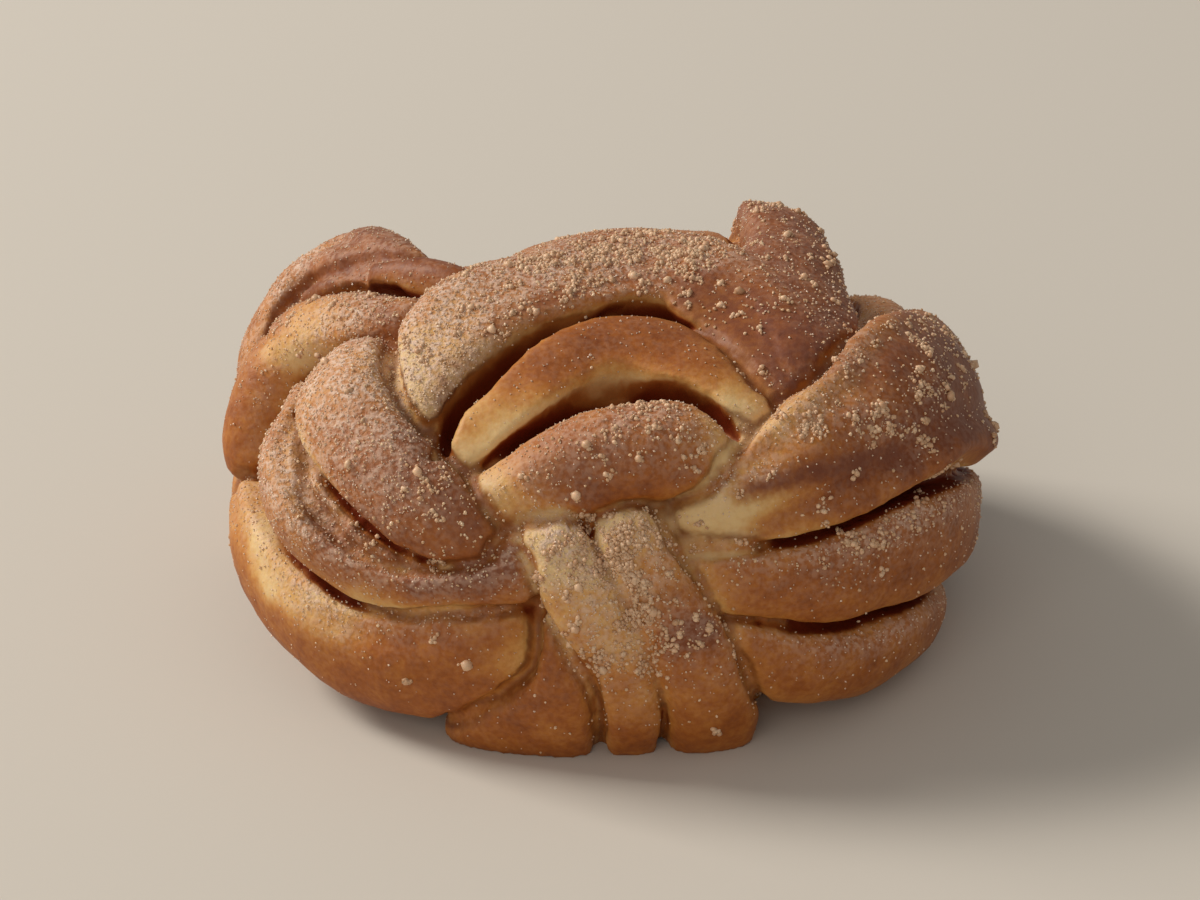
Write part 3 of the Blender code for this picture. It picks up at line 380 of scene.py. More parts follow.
LOOKS = {
    "upper_arch": Look(
        spice=(0.05,), clumps=(0.12,),
        brown=(0.62, (-0.6, 0.12, 0.16, 0.2, 0.3), (-0.45, 0.55, 0.3, 0.0, 0.08)),
        dust=(0.6, (0.6, 0.14, 0.16, 0.3, 0.3), (-0.4, 0.8, 0.2), (-0.8, 0.5, 0.8, 0.0, 0.09)),
        grains=(0.75, (-0.9, 0.5, 0.8, 0.97, 0.12), (-0.6, 0.1, 0.15), (-0.5, 0.85, 0.12)),
        folds=((0.1, 0.03, 1.1, 0.05, 0.85), (0.02, 0.05, -0.6), (0.3, 0.06, 0.4))),
    "arch_peak": Look(
        spice=(0.6,), dust=(0.3,), grains=(0.25,), clumps=(0.12,),
        brown=(0.72, (-0.5, 0.4, 0.1, 0.45, 0.12)),
        folds=((0.4, 0.05, 0.6), (0.12, 0.06, 0.4))),
    "middle_arch": Look(
        dust=(0.1,), grains=(0.03,),
        brown=(0.6, (-0.6, 0.5, 0.7, 0.02, 0.11), (-0.55, 0.9, 0.1, 0.1, 0.3),
            (-0.5, 0.12, 0.2, 0.15, 0.3), (0.15, 0.45, 0.25, 0.2, 0.12)),
        folds=((0.13, 0.04, 0.7), (0.03, 0.06, -0.5))),
    "inner_roll": Look(
        clumps=(0.04,),
        brown=(0.58, (-0.5, 0.08, 0.14), (-0.35, 0.98, 0.1), (0.2, 0.5, 0.3, 0.1, 0.12)),
        dust=(0.35, (-0.4, 0.5, 0.6, 0.05, 0.12)),
        grains=(0.35, (-0.5, 0.5, 0.6, 0.03, 0.14)),
        folds=((0.27, 0.05, 0.6), (0.08, 0.05, 0.4))),
    "upper_right": Look(
        spice=(0.12,), dust=(0.12,), clumps=(0.04,),
        brown=(0.58, (-0.7, 0.02, 0.09, 0.2, 0.5), (-0.6, 0.15, 0.25, 0.01, 0.07),
            (0.3, 0.22, 0.2, 0.17, 0.05), (-0.25, 0.18, 0.2, 0.4, 0.08), (0.2, 0.35, 0.12),
            (0.15, 0.8, 0.4)),
        grains=(0.25, (-0.6, 0.06, 0.12), (-0.6, 0.3, 0.4, 0.0, 0.1), (-0.4, 0.75, 0.25)),
        folds=((0.1, 0.035, 1.8, -0.1, 0.5), (0.17, 0.035, -1.2, 0.05, 0.5), (0.42, 0.035, 1.0, 0.0, 0.5),
            (0.35, 0.04, -0.5, 0.0, 0.5))),
    "behind_right": Look(brown=(0.5,), dust=(0.45,), grains=(0.05,)),
    "middle_right": Look(
        brown=(0.67, (-0.5, 0.02, 0.08), (-0.15, 0.4, 0.4, 0.08, 0.1)),
        dust=(0.16, (0.5, 0.35, 0.35, 0.4, 0.1)),
        grains=(0.12, (0.5, 0.35, 0.3, 0.4, 0.1)),
        folds=((0.36, 0.05, 0.5), (0.12, 0.06, 0.3))),
    "lower_right": Look(
        grains=(0.04,),
        dust=(0.1, (0.45, 0.4, 0.4, 0.4, 0.1)),
        brown=(0.62, (-0.35, 0.05, 0.1), (-0.2, 0.35, 0.3, 0.1, 0.12)),
        folds=((0.36, 0.05, 0.5),)),
    "front_band": Look(
        brown=(0.32, (-0.6, 0.1, 0.16), (0.3, 0.85, 0.25)),
        grains=(0.6, (-0.8, 0.05, 0.12), (-0.8, 0.9, 0.22)),
        dust=(0.5, (-0.5, 0.9, 0.25)),
        clumps=(0.12, (-0.12, 0.9, 0.25)),
        folds=((0.16, 0.05, 0.3), (0.36, 0.05, 0.3))),
    "front_band_side": Look(
        brown=(0.45, (-0.6, 0.05, 0.12), (0.2, 0.85, 0.25), (0.5, 0.45, 0.08, 0.3, 0.12)),
        grains=(0.5, (-0.7, 0.9, 0.25)),
        dust=(0.35, (-0.5, 0.9, 0.25)),
        clumps=(0.12, (-0.12, 0.85, 0.3)),
        folds=((0.2, 0.06, 0.4), (0.38, 0.05, 0.3))),
    "front_tuck": Look(brown=(0.1,), dust=(0.05,), grains=(0.0,)),
    "front_foot": Look(brown=(0.62,), dust=(0.12,), grains=(0.03,)),
    "lower_left": Look(
        grains=(0.04,),
        dust=(0.1, (0.5, 0.45, 0.4, 0.07, 0.07)),
        brown=(0.64, (-0.3, 0.02, 0.06), (-0.35, 0.55, 0.25, 0.1, 0.14)),
        folds=((0.08, 0.03, 0.9), (0.14, 0.035, -0.4))),
    "middle_left": Look(
        grains=(0.35,),
        brown=(0.6, (-0.4, 0.42, 0.1, 0.36, 0.1), (0.35, 0.25, 0.2, 0.2, 0.08), (-0.45, 0.0, 0.08),
            (-0.35, 0.7, 0.12, 0.1, 0.2)),
        dust=(0.6, (0.4, 0.65, 0.2, 0.15, 0.15)),
        folds=((0.09, 0.035, 0.8), (0.22, 0.04, 0.7), (0.155, 0.03, -0.7), (0.34, 0.04, -0.4))),
    "middle_left_rim": Look(
        dust=(0.4,), grains=(0.5,),
        brown=(0.3, (0.25, 0.5, 0.15, 0.3, 0.3))),
    "upper_left": Look(
        brown=(0.72, (-0.25, 0.03, 0.08), (-0.4, 0.75, 0.2)),
        grains=(0.45, (0.5, 0.2, 0.15, 0.3, 0.2)),
        dust=(1.0, (-0.9, 0.12, 0.32)),
        folds=((0.42, 0.04, 0.5),)),
    "left_arc": Look(
        brown=(0.6, (-0.5, 0.4, 0.1, 0.4, 0.2)),
        dust=(0.35, (0.15, 0.2, 0.2, 0.2, 0.2), (-0.3, 0.8, 0.2)),
        grains=(0.35, (0.3, 0.2, 0.2, 0.2, 0.2), (-0.3, 0.8, 0.25)),
        folds=((0.36, 0.03, -0.9, 0.0, 0.4), (0.2, 0.06, 0.3))),
    "top_ribbon": Look(
        spice=(0.3,), grains=(0.03,),
        brown=(0.8, (-0.45, 0.4, 0.5, 0.55, 0.12)),
        dust=(0.15, (0.3, 0.4, 0.5, 0.5, 0.1))),
    "shoulder_front": Look(brown=(0.7,), dust=(0.4,), grains=(0.05,)),
    "shoulder_fold": Look(brown=(0.7,), dust=(0.4,), grains=(0.05,)),
    "left_shoulder": Look(brown=(0.5,), dust=(0.5,), grains=(0.05,)),
}
# The strands that have no look of their own, most of them on the back
BACK_LOOK = Look(brown=(0.6,), dust=(0.3,), grains=(0.1,))

# Strokes along which several things change at once
ARCH_TURN = [(51, 62), (47.5, 50.5), (48.5, 39)]
RIGHT_LINE = [(23, 21), (30, 21.5), (40.5, 21), (50, 19.5)]
# RIGHT_CREST also carries a painted highlight, laid partly as sugar dust
RIGHT_CREST = [(30, 29), (40.5, 32), (59, 34.5)]
BAND_TOPS = [(-3, 12.5), (3, 10), (1.5, 5), (2.5, 0)]
LEFT_FLANK = [(-55, -3), (-49, -5), (-43, -6)]

# Soft-edged strokes over the skin, by what they change: by how much, how far they reach to each
# side, and their bearings and climbs
STREAKS = {
    "brown": (
        (-0.3, 3, [(-53.5, 39.5), (-45, 34), (-39, 32)]),
        (-0.5, 1.8, [(-25.5, 29), (-19.5, 34), (-12.5, 38.5)]),
        (-0.45, 3, [(27.5, 37.5), (27.5, 31)]),
        (-0.35, 2.5, [(-20, 23), (-16, 21.5)]),
        (-0.4, 2, [(19.5, 33), (20.5, 28)]),
        (0.3, 1.2, RIGHT_LINE),
        (-0.45, 3, [(15.5, 19.5), (19, 17)]),
        (-0.25, 1.6, [(24, 18.5), (34, 18.5)]),
        # A painted highlight: a little lighter along the upper right crest
        (-0.1, 4, RIGHT_CREST),
        (0.3, 2, [(24.5, 26), (29, 27.5)]),
        (-0.15, 4.5, BAND_TOPS),
        (-0.3, 3.5, [(-10, 17.5), (-5, 12)]),
        (-0.35, 1.5, [(-49, -2), (-40, -1.5), (-28.5, 0.5), (-23, 2.5)]),
        (-0.55, 2.5, [(-66.5, 6.5), (-62.5, 0.5), (-57, -4)]),
        (-0.3, 3, LEFT_FLANK),
        (-0.5, 1.3, [(-56.5, 20.5), (-50.5, 18), (-45, 15.5)]),
        (-0.5, 2.5, [(-87, 22), (-81, 24.5)]),
        (0.3, 3, [(-69, 36), (-67.5, 42)]),
    ),
    "spice": (
        (0.9, 1.6, [(-37, 34.5), (-39, 40), (-38, 47.5), (-34.5, 56.5), (-24, 66)]),
        (0.8, 7, ARCH_TURN),
        (0.45, 2.2, [(-12.5, 25.5), (-5.5, 28), (1, 29)]),
        (1, 1.2, RIGHT_LINE),
        (0.45, 3.5, [(52, 30), (61.5, 30), (73, 30)]),
        (0.25, 7, [(85.5, 21), (76.5, 18), (62.5, 18)]),
        (0.7, 0.7, [(12.5, 15.5), (18.5, 14.5), (24.5, 14)]),
        (0.45, 2.5, [(5, 5), (9.5, 6)]),
        (0.8, 2.5, [(-49, 12.5), (-43, 9), (-40.5, 13)]),
        (0.4, 3, [(-24, 5.5), (-18, 9)]),
        (0.5, 4.5, [(-34.5, 26), (-28, 21), (-22, 17.5)]),
        (1, 1.2, [(-95, 21), (-94.5, 26.5), (-91, 34.5), (-82.5, 43), (-68, 52.5)]),
        (0.6, 0.8, [(-69.5, 33), (-69, 36.5), (-68.5, 40.5)]),
        (0.5, 3, [(-123, 29.5), (-103.5, 42.5)]),
    ),
    "dust": (
        (-0.6, 1.6, [(-38, 47.5), (-34.5, 56.5), (-24, 66)]),
        (-0.25, 6, ARCH_TURN),
        # Sugar dust, laid heavier on the upper right crest and near its left end, which also paints a
        # highlight there
        (0.35, 4, RIGHT_CREST),
        (0.4, 2, [(19.5, 22.5), (27, 23.5)]),
        (0.4, 4, [(-10, 17.5), (-5, 12), (-1, 8)]),
        (0.3, 3, LEFT_FLANK),
        (0.8, 2.4, [(-57, 4), (-48.5, 0), (-42.5, -2)]),
        (0.8, 2.5, [(-60.5, 14), (-53, 11.5), (-47.5, 9.5)]),
        (0.6, 3, [(-76.5, 27), (-80, 32.5), (-76, 39)]),
        (0.6, 2.5, [(-114.5, 25), (-107, 20.5), (-101, 20)]),
    ),
    "grains": (
        (-0.35, 5, ARCH_TURN),
        (1.2, 5, BAND_TOPS),
        (0.5, 5, [(-87, 22), (-76, 27.5), (-76, 37)]),
    ),
    "clumps": (
        (1, 4.5, [(-45.5, 74.5), (-15, 86), (85.5, 79.5), (76.5, 68)]),
        (0.7, 3, [(-1, 33.5), (7.5, 34.5), (16, 33)]),
        (0.7, 3.5, [(39.5, 28.5), (46, 25.5), (53, 21.5)]),
        (0.6, 2.5, [(70, 32), (68, 28), (65.5, 24), (58.5, 23.5)]),
        (0.8, 1.2, [(48.5, 32.5), (56, 32.5)]),
        (0.7, 3, [(38.5, 10.5), (47.5, 10.5), (56.5, 10.5)]),
        (0.8, 1.2, [(22.5, 13.5), (23.5, 13.5)]),
        (0.8, 2.5, [(3, 18.5), (6, 17)]),
        (2.4, 4.5, BAND_TOPS),
        (0.8, 1.5, [(-41, 11), (-38, 10)]),
        (0.6, 1.2, [(-28, 10.5), (-25.5, 8)]),
        (0.3, 3, [(-35, 21), (-29, 16.5)]),
        (0.4, 3, [(-85, 23), (-74, 29.5)]),
    ),
}

# Colours, as linear red, green, blue and alpha
CRUST_COLOURS = (
    (0.0, (0.74, 0.5, 0.22, 1)),
    (0.25, (0.64, 0.34, 0.1, 1)),
    (0.5, (0.49, 0.185, 0.033, 1)),
    (0.75, (0.34, 0.097, 0.013, 1)),
    (1.0, (0.185, 0.042, 0.007, 1)),
)
SPICE_COLOUR = (0.17, 0.05, 0.024, 1)
DUST_COLOUR = (0.71, 0.51, 0.39, 1)
# Cinnamon in the joints between strands, with painted shade where a joint is less open
CREASE_AND_SHADE_COLOUR = (0.18, 0.046, 0.009, 1)
# Cinnamon filling with painted shade: the two colours below darken the least open folds
FILLING_EDGE_AND_SHADE_COLOUR = (0.36, 0.115, 0.022, 1)
FILLING_AND_SHADE_COLOUR = (0.16, 0.02, 0.003, 1)
FLOOR_COLOUR = (0.62, 0.57, 0.5, 1)
SKY_COLOUR = (1.0, 0.98, 0.95, 1)
SKY_STRENGTH = 0.3
FLOOR_SIZE = 6.0

# How large the crust material's unevenness is
MOTTLE_SIZE = 5.0
MOTTLE_DETAIL = 3.0
PORE_SIZE = 0.9
SPICE_SIZE = 1.8
SPECK_SIZE = 0.8
DUST_PATCH_SIZE = 3.2

# What the crust material makes of what it reads: from a low and a high to a new low and a new high
MOTTLED = (0.2, 0.8, -0.12, 0.12)
PORES_BROWNED = (0.2, 0.8, -0.08, 0.08)
SPICE_SPECKLED = (0.3, 0.7, 0.6, 1.0)
DUST_SPECKLED = (0.36, 0.63, 0.2, 1.05)
DUST_PATCHED = (0.3, 0.65, 0.45, 0.9)
DUST_UNDER_SPICE = (0.0, 1.0, 1.0, 0.25)
CREASE_BY_SEAM = (0.15, 0.9, 0.85, 0.0)
# Painted shade on the creases: stronger where a point is less open
CREASE_SHADE_BY_OPENING = (0.55, 0.98, 1.0, 0.3)
# Painted shade, with the cinnamon filling: the less open a point, the darker
DEEP_BY_OPENING = (0.25, 0.6, 1.0, 0.0)
FILLING_EDGE_AND_SHADE_BY_DEPTH = (0.0, 0.5, 0.0, 1.0)
FILLING_AND_SHADE_BY_DEPTH = (0.35, 1.0, 0.0, 1.0)
ROUGHNESS_BY_DUST = (0.0, 0.6, 0.5, 0.8)
PORE_BUMP = (0.12, 0.6)
DUST_BUMP = (0.5, 1.0)

# Lamps: name, place and size in metres, power in watts, colour
LAMPS = (
    ("window", (-2.0, 0.7, 1.7), 0.9, 66.0, (1.0, 0.96, 0.9)),
    ("front_fill", (-0.6, -1.8, 1.0), 1.4, 9.0, (1.0, 0.95, 0.88)),
)

SUGARS = {
    "fine_sugar": Sugar(2.0, 24000, 1, (0.11, 0.22), 0.35, 8, (0.6, 0.4, 0.25, 1), (0.78, 0.58, 0.44, 1)),
    "coarse_sugar": Sugar(1.3, 9900, 1, (0.13, 0.32), 0.3, 20, (0.57, 0.34, 0.18, 1), (0.8, 0.56, 0.36, 1)),
    "sugar_clumps": Sugar(0.42, 1150, 8, (0.2, 0.52), 0.1, 20, (0.5, 0.275, 0.14, 1), (0.77, 0.5, 0.31, 1)),
}

# The largest lumps, as in the solid: how many on each strand, from and to which share of its length,
# and of the way round
SUGARED = {
    "upper_arch": (20, 0.22, 0.8, 0.14, 0.34),
    "arch_peak": (8, 0.12, 0.75, 0.14, 0.4),
    "upper_right": (12, 0.18, 0.5, 0.12, 0.42),
    "inner_roll": (5, 0.35, 0.85, 0.16, 0.3),
    "front_band": (5, 0.2, 0.55, 0.1, 0.35),
    "front_band_side": (4, 0.15, 0.5, 0.15, 0.4),
    "upper_left": (4, 0.3, 0.85, 0.15, 0.35),
    "left_arc": (3, 0.2, 0.5, 0.15, 0.35),
}
LUMP_RADIUS = (0.7, 1.1)
LUMP_JITTER = 0.3
LUMP_SEED = 5
GOLDEN_SHARE = 0.618

# Lumps that lie alone, on the lower left strand: bearing, climb and radius
LONE_LUMPS = ((-22, -7, 1.1), (-31.5, -11, 0.9), (-27.5, -3.5, 0.5))


# The strands' form


def toward(bearing, climb):
    """The unit direction of a bearing and climb, from the middle of the dome's waist."""
    turn, tilt = np.radians(bearing), np.radians(climb)
    return np.array([np.sin(turn) * np.cos(tilt), -np.cos(turn) * np.cos(tilt), np.sin(tilt)])


def dome_axes(offsets):
    return np.where(offsets[..., 2:] > 0, (HALF_WIDTH, HALF_DEPTH, RISE), (HALF_WIDTH, HALF_DEPTH, DROP))


def dome_reach(offsets):
    """How many times its own length an offset from the middle of the waist goes to reach the dome."""
    return np.sum(np.abs(offsets / dome_axes(offsets)) ** SQUARENESS, axis=-1) ** (-1 / SQUARENESS)


def dome_point(bearing, climb, lift):
    direction = toward(bearing, climb)
    return WAIST_MIDDLE + direction * (dome_reach(direction) + lift)


def dome_normal(point):
    offset = point - WAIST_MIDDLE
    axes = dome_axes(offset)
    slope = np.sign(offset) * np.abs(offset / axes) ** (SQUARENESS - 1) / axes
    return slope / np.linalg.norm(slope)


def smooth_curve(knots, count):
    """count points, evenly spaced along a smooth curve through the knots, and the curve's length."""
    knots = np.asarray(knots, float)
    ends = np.vstack([2 * knots[0] - knots[1], knots, 2 * knots[-1] - knots[-2]])
    steps = np.linspace(0, 1, CURVE_STEPS, endpoint=False)[:, None]
    pieces = []
    for before, start, end, after in zip(ends, ends[1:], ends[2:], ends[3:]):
        pieces.append(0.5 * (
            2 * start + (end - before) * steps
            + (2 * before - 5 * start + 4 * end - after) * steps ** 2
            + (3 * start - before - 3 * end + after) * steps ** 3))
    fine = np.vstack(pieces + [knots[-1:]])
    lengths = np.concatenate([[0], np.cumsum(np.linalg.norm(np.diff(fine, axis=0), axis=1))])
    wanted = np.linspace(0, lengths[-1], count)
    return np.stack([np.interp(wanted, lengths, column) for column in fine.T], axis=1), lengths[-1]


def spread(values, count):
    """The values, spread evenly and smoothly over count stations."""
    if len(values) == 1:
        return np.full(count, float(values[0]))
    places = np.linspace(0, len(values) - 1, count)
    near = np.minimum(places.astype(int), len(values) - 2)
    share = places - near
    share = share * share * (3 - 2 * share)
    values = np.asarray(values, float)
    return values[near] * (1 - share) + values[near + 1] * share


def bell(offset, reach):
    return np.exp(-(offset / reach) ** 2)


def round_offset(around, centre):
    """The shorter way round, as a share of the whole turn."""
    return (around - centre + 0.5) % 1 - 0.5


def fold_height(along, around, middle, reach, height, start=-0.1, end=1.1):
    """How far a fold raises the section's points at one station."""
    started, ended = np.clip(((along - start) / FOLD_FADE, (end - along) / FOLD_FADE), 0, 1)
    return height * (started * ended) * bell(round_offset(around, middle), reach)


def strand_rings(strand, folds):
    """The strand's sections as an array of stations, sides and coordinates, and its length."""
    knots = [dome_point(*place) for place in strand.path]
    _, length = smooth_curve(knots, 2)
    count = max(FEWEST_STATIONS, int(round(length / STATION_STEP)) + 1)
    centres, _ = smooth_curve(knots, count)
    tangents = np.gradient(centres, axis=0)
    tangents /= np.linalg.norm(tangents, axis=1)[:, None]
    widths, depths = spread(strand.wide, count), spread(strand.thick, count)
    rolls = np.radians(spread(strand.roll, count))
    places = np.linspace(0, length, count)
    from_end = np.minimum(places, length - places)
    shrink = np.maximum(np.sqrt(1 - np.clip(1 - from_end / depths, 0, 1) ** 2), SMALLEST_END)
    around = np.arange(SECTION_SIDES) / SECTION_SIDES
    cosine, sine = np.cos(2 * np.pi * around), np.sin(2 * np.pi * around)
    across, outwards = (np.sign(way) * np.abs(way) ** (2 / strand.corner) for way in (cosine, sine))
    rings = []
    for i in range(count):
        normal = dome_normal(centres[i])
        normal -= tangents[i] * (normal @ tangents[i])
        normal /= np.linalg.norm(normal)
        side = np.cross(tangents[i], normal)
        out = normal * np.cos(rolls[i]) + side * np.sin(rolls[i])
        wide = side * np.cos(rolls[i]) - normal * np.sin(rolls[i])
        raised = sum(fold_height(places[i] / length, around, *fold) for fold in folds)
        rings.append(centres[i] + shrink[i] * (
            np.outer(across * widths[i] + cosine * raised, wide)
            + np.outer(outwards * depths[i] + sine * raised, out)))
    return np.array(rings), length


def ring_faces(stations, first):
    """The faces of a closed loft whose points start at this index."""
    index = first + np.arange(stations * SECTION_SIDES).reshape(stations, SECTION_SIDES)
    turned = np.roll(index, -1, axis=1)
    sides = np.stack([index[:-1], turned[:-1], turned[1:], index[1:]], axis=-1).reshape(-1, 4)
    return sides.tolist() + [index[0][::-1].tolist(), index[-1].tolist()]


def core_points():
    """The dough inside, which closes the hollows between the strands, as points and faces."""
    ball = bmesh.new()
    bmesh.ops.create_uvsphere(ball, u_segments=CORE_SIDES, v_segments=CORE_SIDES // 2, radius=1)
    directions = [np.array(vertex.co) / vertex.co.length for vertex in ball.verts]
    points = [WAIST_MIDDLE + way * (dome_reach(way) - CORE_SHRINK) for way in directions]
    faces = [[vertex.index for vertex in face.verts] for face in ball.faces]
    ball.free()
    return np.array(points), faces


def look_of(name):
    return LOOKS.get(name, BACK_LOOK)


# Meshes and the places on them


def placed(name, data):
    """A new object in the scene that shows this data."""
    made = bpy.data.objects.new(name, data)
    bpy.context.scene.collection.objects.link(made)
    return made


def apply_modifiers(piece):
    graph = bpy.context.evaluated_depsgraph_get()
    mesh = bpy.data.meshes.new_from_object(piece.evaluated_get(graph))
    piece.modifiers.clear()
    piece.data = mesh


def remesh(piece):
    even = piece.modifiers.new("even_faces", "REMESH")
    even.mode = "VOXEL"
    even.voxel_size = VOXEL * MM
    apply_modifiers(piece)


def cut_flat(piece):
    """Cuts the skin level with the floor and closes it there."""
    shape = bmesh.new()
    shape.from_mesh(piece.data)
    whole = shape.verts[:] + shape.edges[:] + shape.faces[:]
    bmesh.ops.bisect_plane(shape, geom=whole, plane_co=(0, 0, 0), plane_no=(0, 0, -1), clear_outer=True)
    bmesh.ops.holes_fill(shape, edges=[edge for edge in shape.edges if edge.is_boundary], sides=0)
    shape.to_mesh(piece.data)
    shape.free()


def thin_out(piece):
    """Merges the flattest faces until the piece has the most triangles that it may have."""
    triangles = sum(len(face.vertices) - 2 for face in piece.data.polygons)
    if triangles > MOST_TRIANGLES:
        piece.modifiers.new("merge_flattest", "DECIMATE").ratio = MOST_TRIANGLES / triangles
        apply_modifiers(piece)


def rows_of(items, name, size, kind=np.float32):
    """One property of all these parts of a mesh, as an array with a row for each."""
    values = np.empty(len(items) * size, kind)
    items.foreach_get(name, values)
    return values.reshape(-1, size)


def points_of(mesh):
    return rows_of(mesh.vertices, "co", 3).astype(float) / MM


def normals_of(mesh):
    return rows_of(mesh.vertex_normals, "vector", 3).astype(float)


def edges_of(mesh):
    return rows_of(mesh.edges, "vertices", 2, np.int32)


def move_points(mesh, points):
    mesh.vertices.foreach_set("co", (points * MM).astype(np.float32).ravel())
    mesh.update()


def write_values(mesh, name, values):
    made = mesh.attributes.new(name, "FLOAT", "POINT")
    made.data.foreach_set("value", np.asarray(values, np.float32))


def averaged(values, edges, rounds):
    """Each value moved halfway to its neighbours' mean, several times."""
    values = np.array(values, float)
    flat = values.reshape(len(values), -1)
    counts = np.maximum(np.bincount(edges.ravel(), minlength=len(values))[:, None], 1)
    for _ in range(rounds):
        total = np.zeros_like(flat)
        for column in range(flat.shape[1]):
            total[:, column] = (
                np.bincount(edges[:, 0], flat[edges[:, 1], column], len(values))
                + np.bincount(edges[:, 1], flat[edges[:, 0], column], len(values)))
        flat = (flat + total / counts) / 2
    return flat.reshape(values.shape)


def noise_at(points, size, seed):
    """Smooth noise from -1 to 1 at each point, with lumps of this size."""
    shifted = points / size + seed * SEED_SHIFT
    return np.array([noise.noise(point) for point in shifted.tolist()])


def noise_patches(points, seed, size, contrast, shift, low, high):
    return np.clip(noise_at(points, size, seed) * contrast + shift, low, high)


def surface_of(mesh):
    return BVHTree.FromPolygons(points_of(mesh).tolist(), [face.vertices[:] for face in mesh.polygons])


def tree_of(points):
    tree = KDTree(len(points))
    for i, point in enumerate(points.tolist()):
        tree.insert(point, i)
    tree.balance()
    return tree


def found_in(tree, points):
    """The nearest entry of the tree to each point, and its distance."""
    found = [tree.find(point)[1:] for point in points.tolist()]
    return np.array([index for index, _ in found]), np.array([distance for _, distance in found])


class Rings:
    """All the strands' points, so that a place on the skin finds its strand."""

    def __init__(self):
        self.names = list(STRANDS)
        self.faces, lengths, rows = [], [], []
        for number, (name, strand) in enumerate(STRANDS.items()):
            rings, length = strand_rings(strand, look_of(name).folds)
            self.faces += ring_faces(len(rings), sum(len(row[0]) for row in rows))
            lengths.append(length)
            stations, sides = np.indices(rings.shape[:2]).reshape(2, -1)
            rows.append((
                rings.reshape(-1, 3), np.full(len(sides), number), stations / (len(rings) - 1),
                sides / SECTION_SIDES, spread(strand.gap, len(rings))[stations]))
        self.points, self.whose, self.along, self.around, self.gaps = map(np.concatenate, zip(*rows))
        self.lengths = np.array(lengths)
        self.levels = np.array([strand.level for strand in STRANDS.values()])
        joined = np.array([self.names.index(JOINED.get(name, name)) for name in self.names])
        self.owners = joined[self.whose]
        self.tree = tree_of(self.points)

    def nearest(self, points):
        return found_in(self.tree, points)[0]


# The whole roll as one skin


def skin_object(rings):
    """One closed skin over all the strands, with its base cut flat."""
    core, core_faces = core_points()
    first = len(rings.points)
    faces = rings.faces + [[first + i for i in face] for face in core_faces]
    mesh = bpy.data.meshes.new("crust")
    mesh.from_pydata((np.vstack([rings.points, core]) * MM).tolist(), [], faces)
    piece = placed("crust", mesh)
    remesh(piece)
    crease(piece.data, rings)
    cut_grooves(piece.data)
    remesh(piece)
    cut_flat(piece)
    remesh(piece)
    return piece


def seams(points, edges, owners):
    """The nearest edge that joins two strands, as its two points, and how far each point is from it."""
    meeting = edges[owners[edges[:, 0]] != owners[edges[:, 1]]]
    seam, away = found_in(tree_of(points[meeting].mean(axis=1)), points)
    return meeting[seam], away


def crease(mesh, rings):
    """Sinks the skin where two strands meet: steeply on the upper one, and gently on the one under it."""
    points, edges = points_of(mesh), edges_of(mesh)
    near = rings.nearest(points)
    owners = rings.owners[near]
    pair, away = seams(points, edges, owners)
    levels = rings.levels[owners]
    lower = np.where(levels[pair[:, 0]] < levels[pair[:, 1]], pair[:, 0], pair[:, 1])
    depth = averaged(rings.gaps[near][lower], edges, 8)
    reach = np.where(levels > levels[lower], UPPER_REACH, depth * LOWER_REACH)
    offsets = points - WAIST_MIDDLE
    lift = np.linalg.norm(offsets, axis=1) * (1 - dome_reach(offsets))
    depth *= np.clip((lift - DEEPEST_LIFT) / STOPPING_DEPTH, 0, 1)
    sunk = depth * np.clip(1 - averaged(away, edges, 3) / reach, 0, 1) ** CREASE_SHARPNESS
    slit = SLIT_DEPTH * np.clip(rings.gaps[near][lower], 0, 1)
    sunk += slit * np.sqrt(np.clip(1 - (away / SLIT_HALF_WIDTH) ** 2, 0, 1))
    normals = averaged(normals_of(mesh), edges, 6)
    normals /= np.linalg.norm(normals, axis=1)[:, None]
    move_points(mesh, points - normals * averaged(sunk, edges, 1)[:, None])


def beside(path, lift, stations, points):
    """For each point: the nearest station of a path, the dome's normal there, how far the point lies
    to the side of it, and how far above."""
    centres, _ = smooth_curve([dome_point(*spot, lift) for spot in path], stations)
    near, _ = found_in(tree_of(centres), points)
    outwards = np.array([dome_normal(centre) for centre in centres])[near]
    offsets = points - centres[near]
    above = np.sum(offsets * outwards, axis=1)
    away = np.linalg.norm(offsets - above[:, None] * outwards, axis=1)
    return near, outwards, away, above


def cut_grooves(mesh):
    """Sinks the skin along each groove, straight towards the middle of the roll."""
    points = points_of(mesh)
    for groove in GROOVES.values():
        near, outwards, away, _ = beside(groove.path, groove.lift, GROOVE_STATIONS, points)
        share = np.clip(1 - (away / spread(groove.wide, GROOVE_STATIONS)[near]) ** 2, 0, 1)
        sunk = spread(groove.depth, GROOVE_STATIONS)[near] * np.sqrt(share)
        points -= outwards * sunk[:, None]
    move_points(mesh, points)


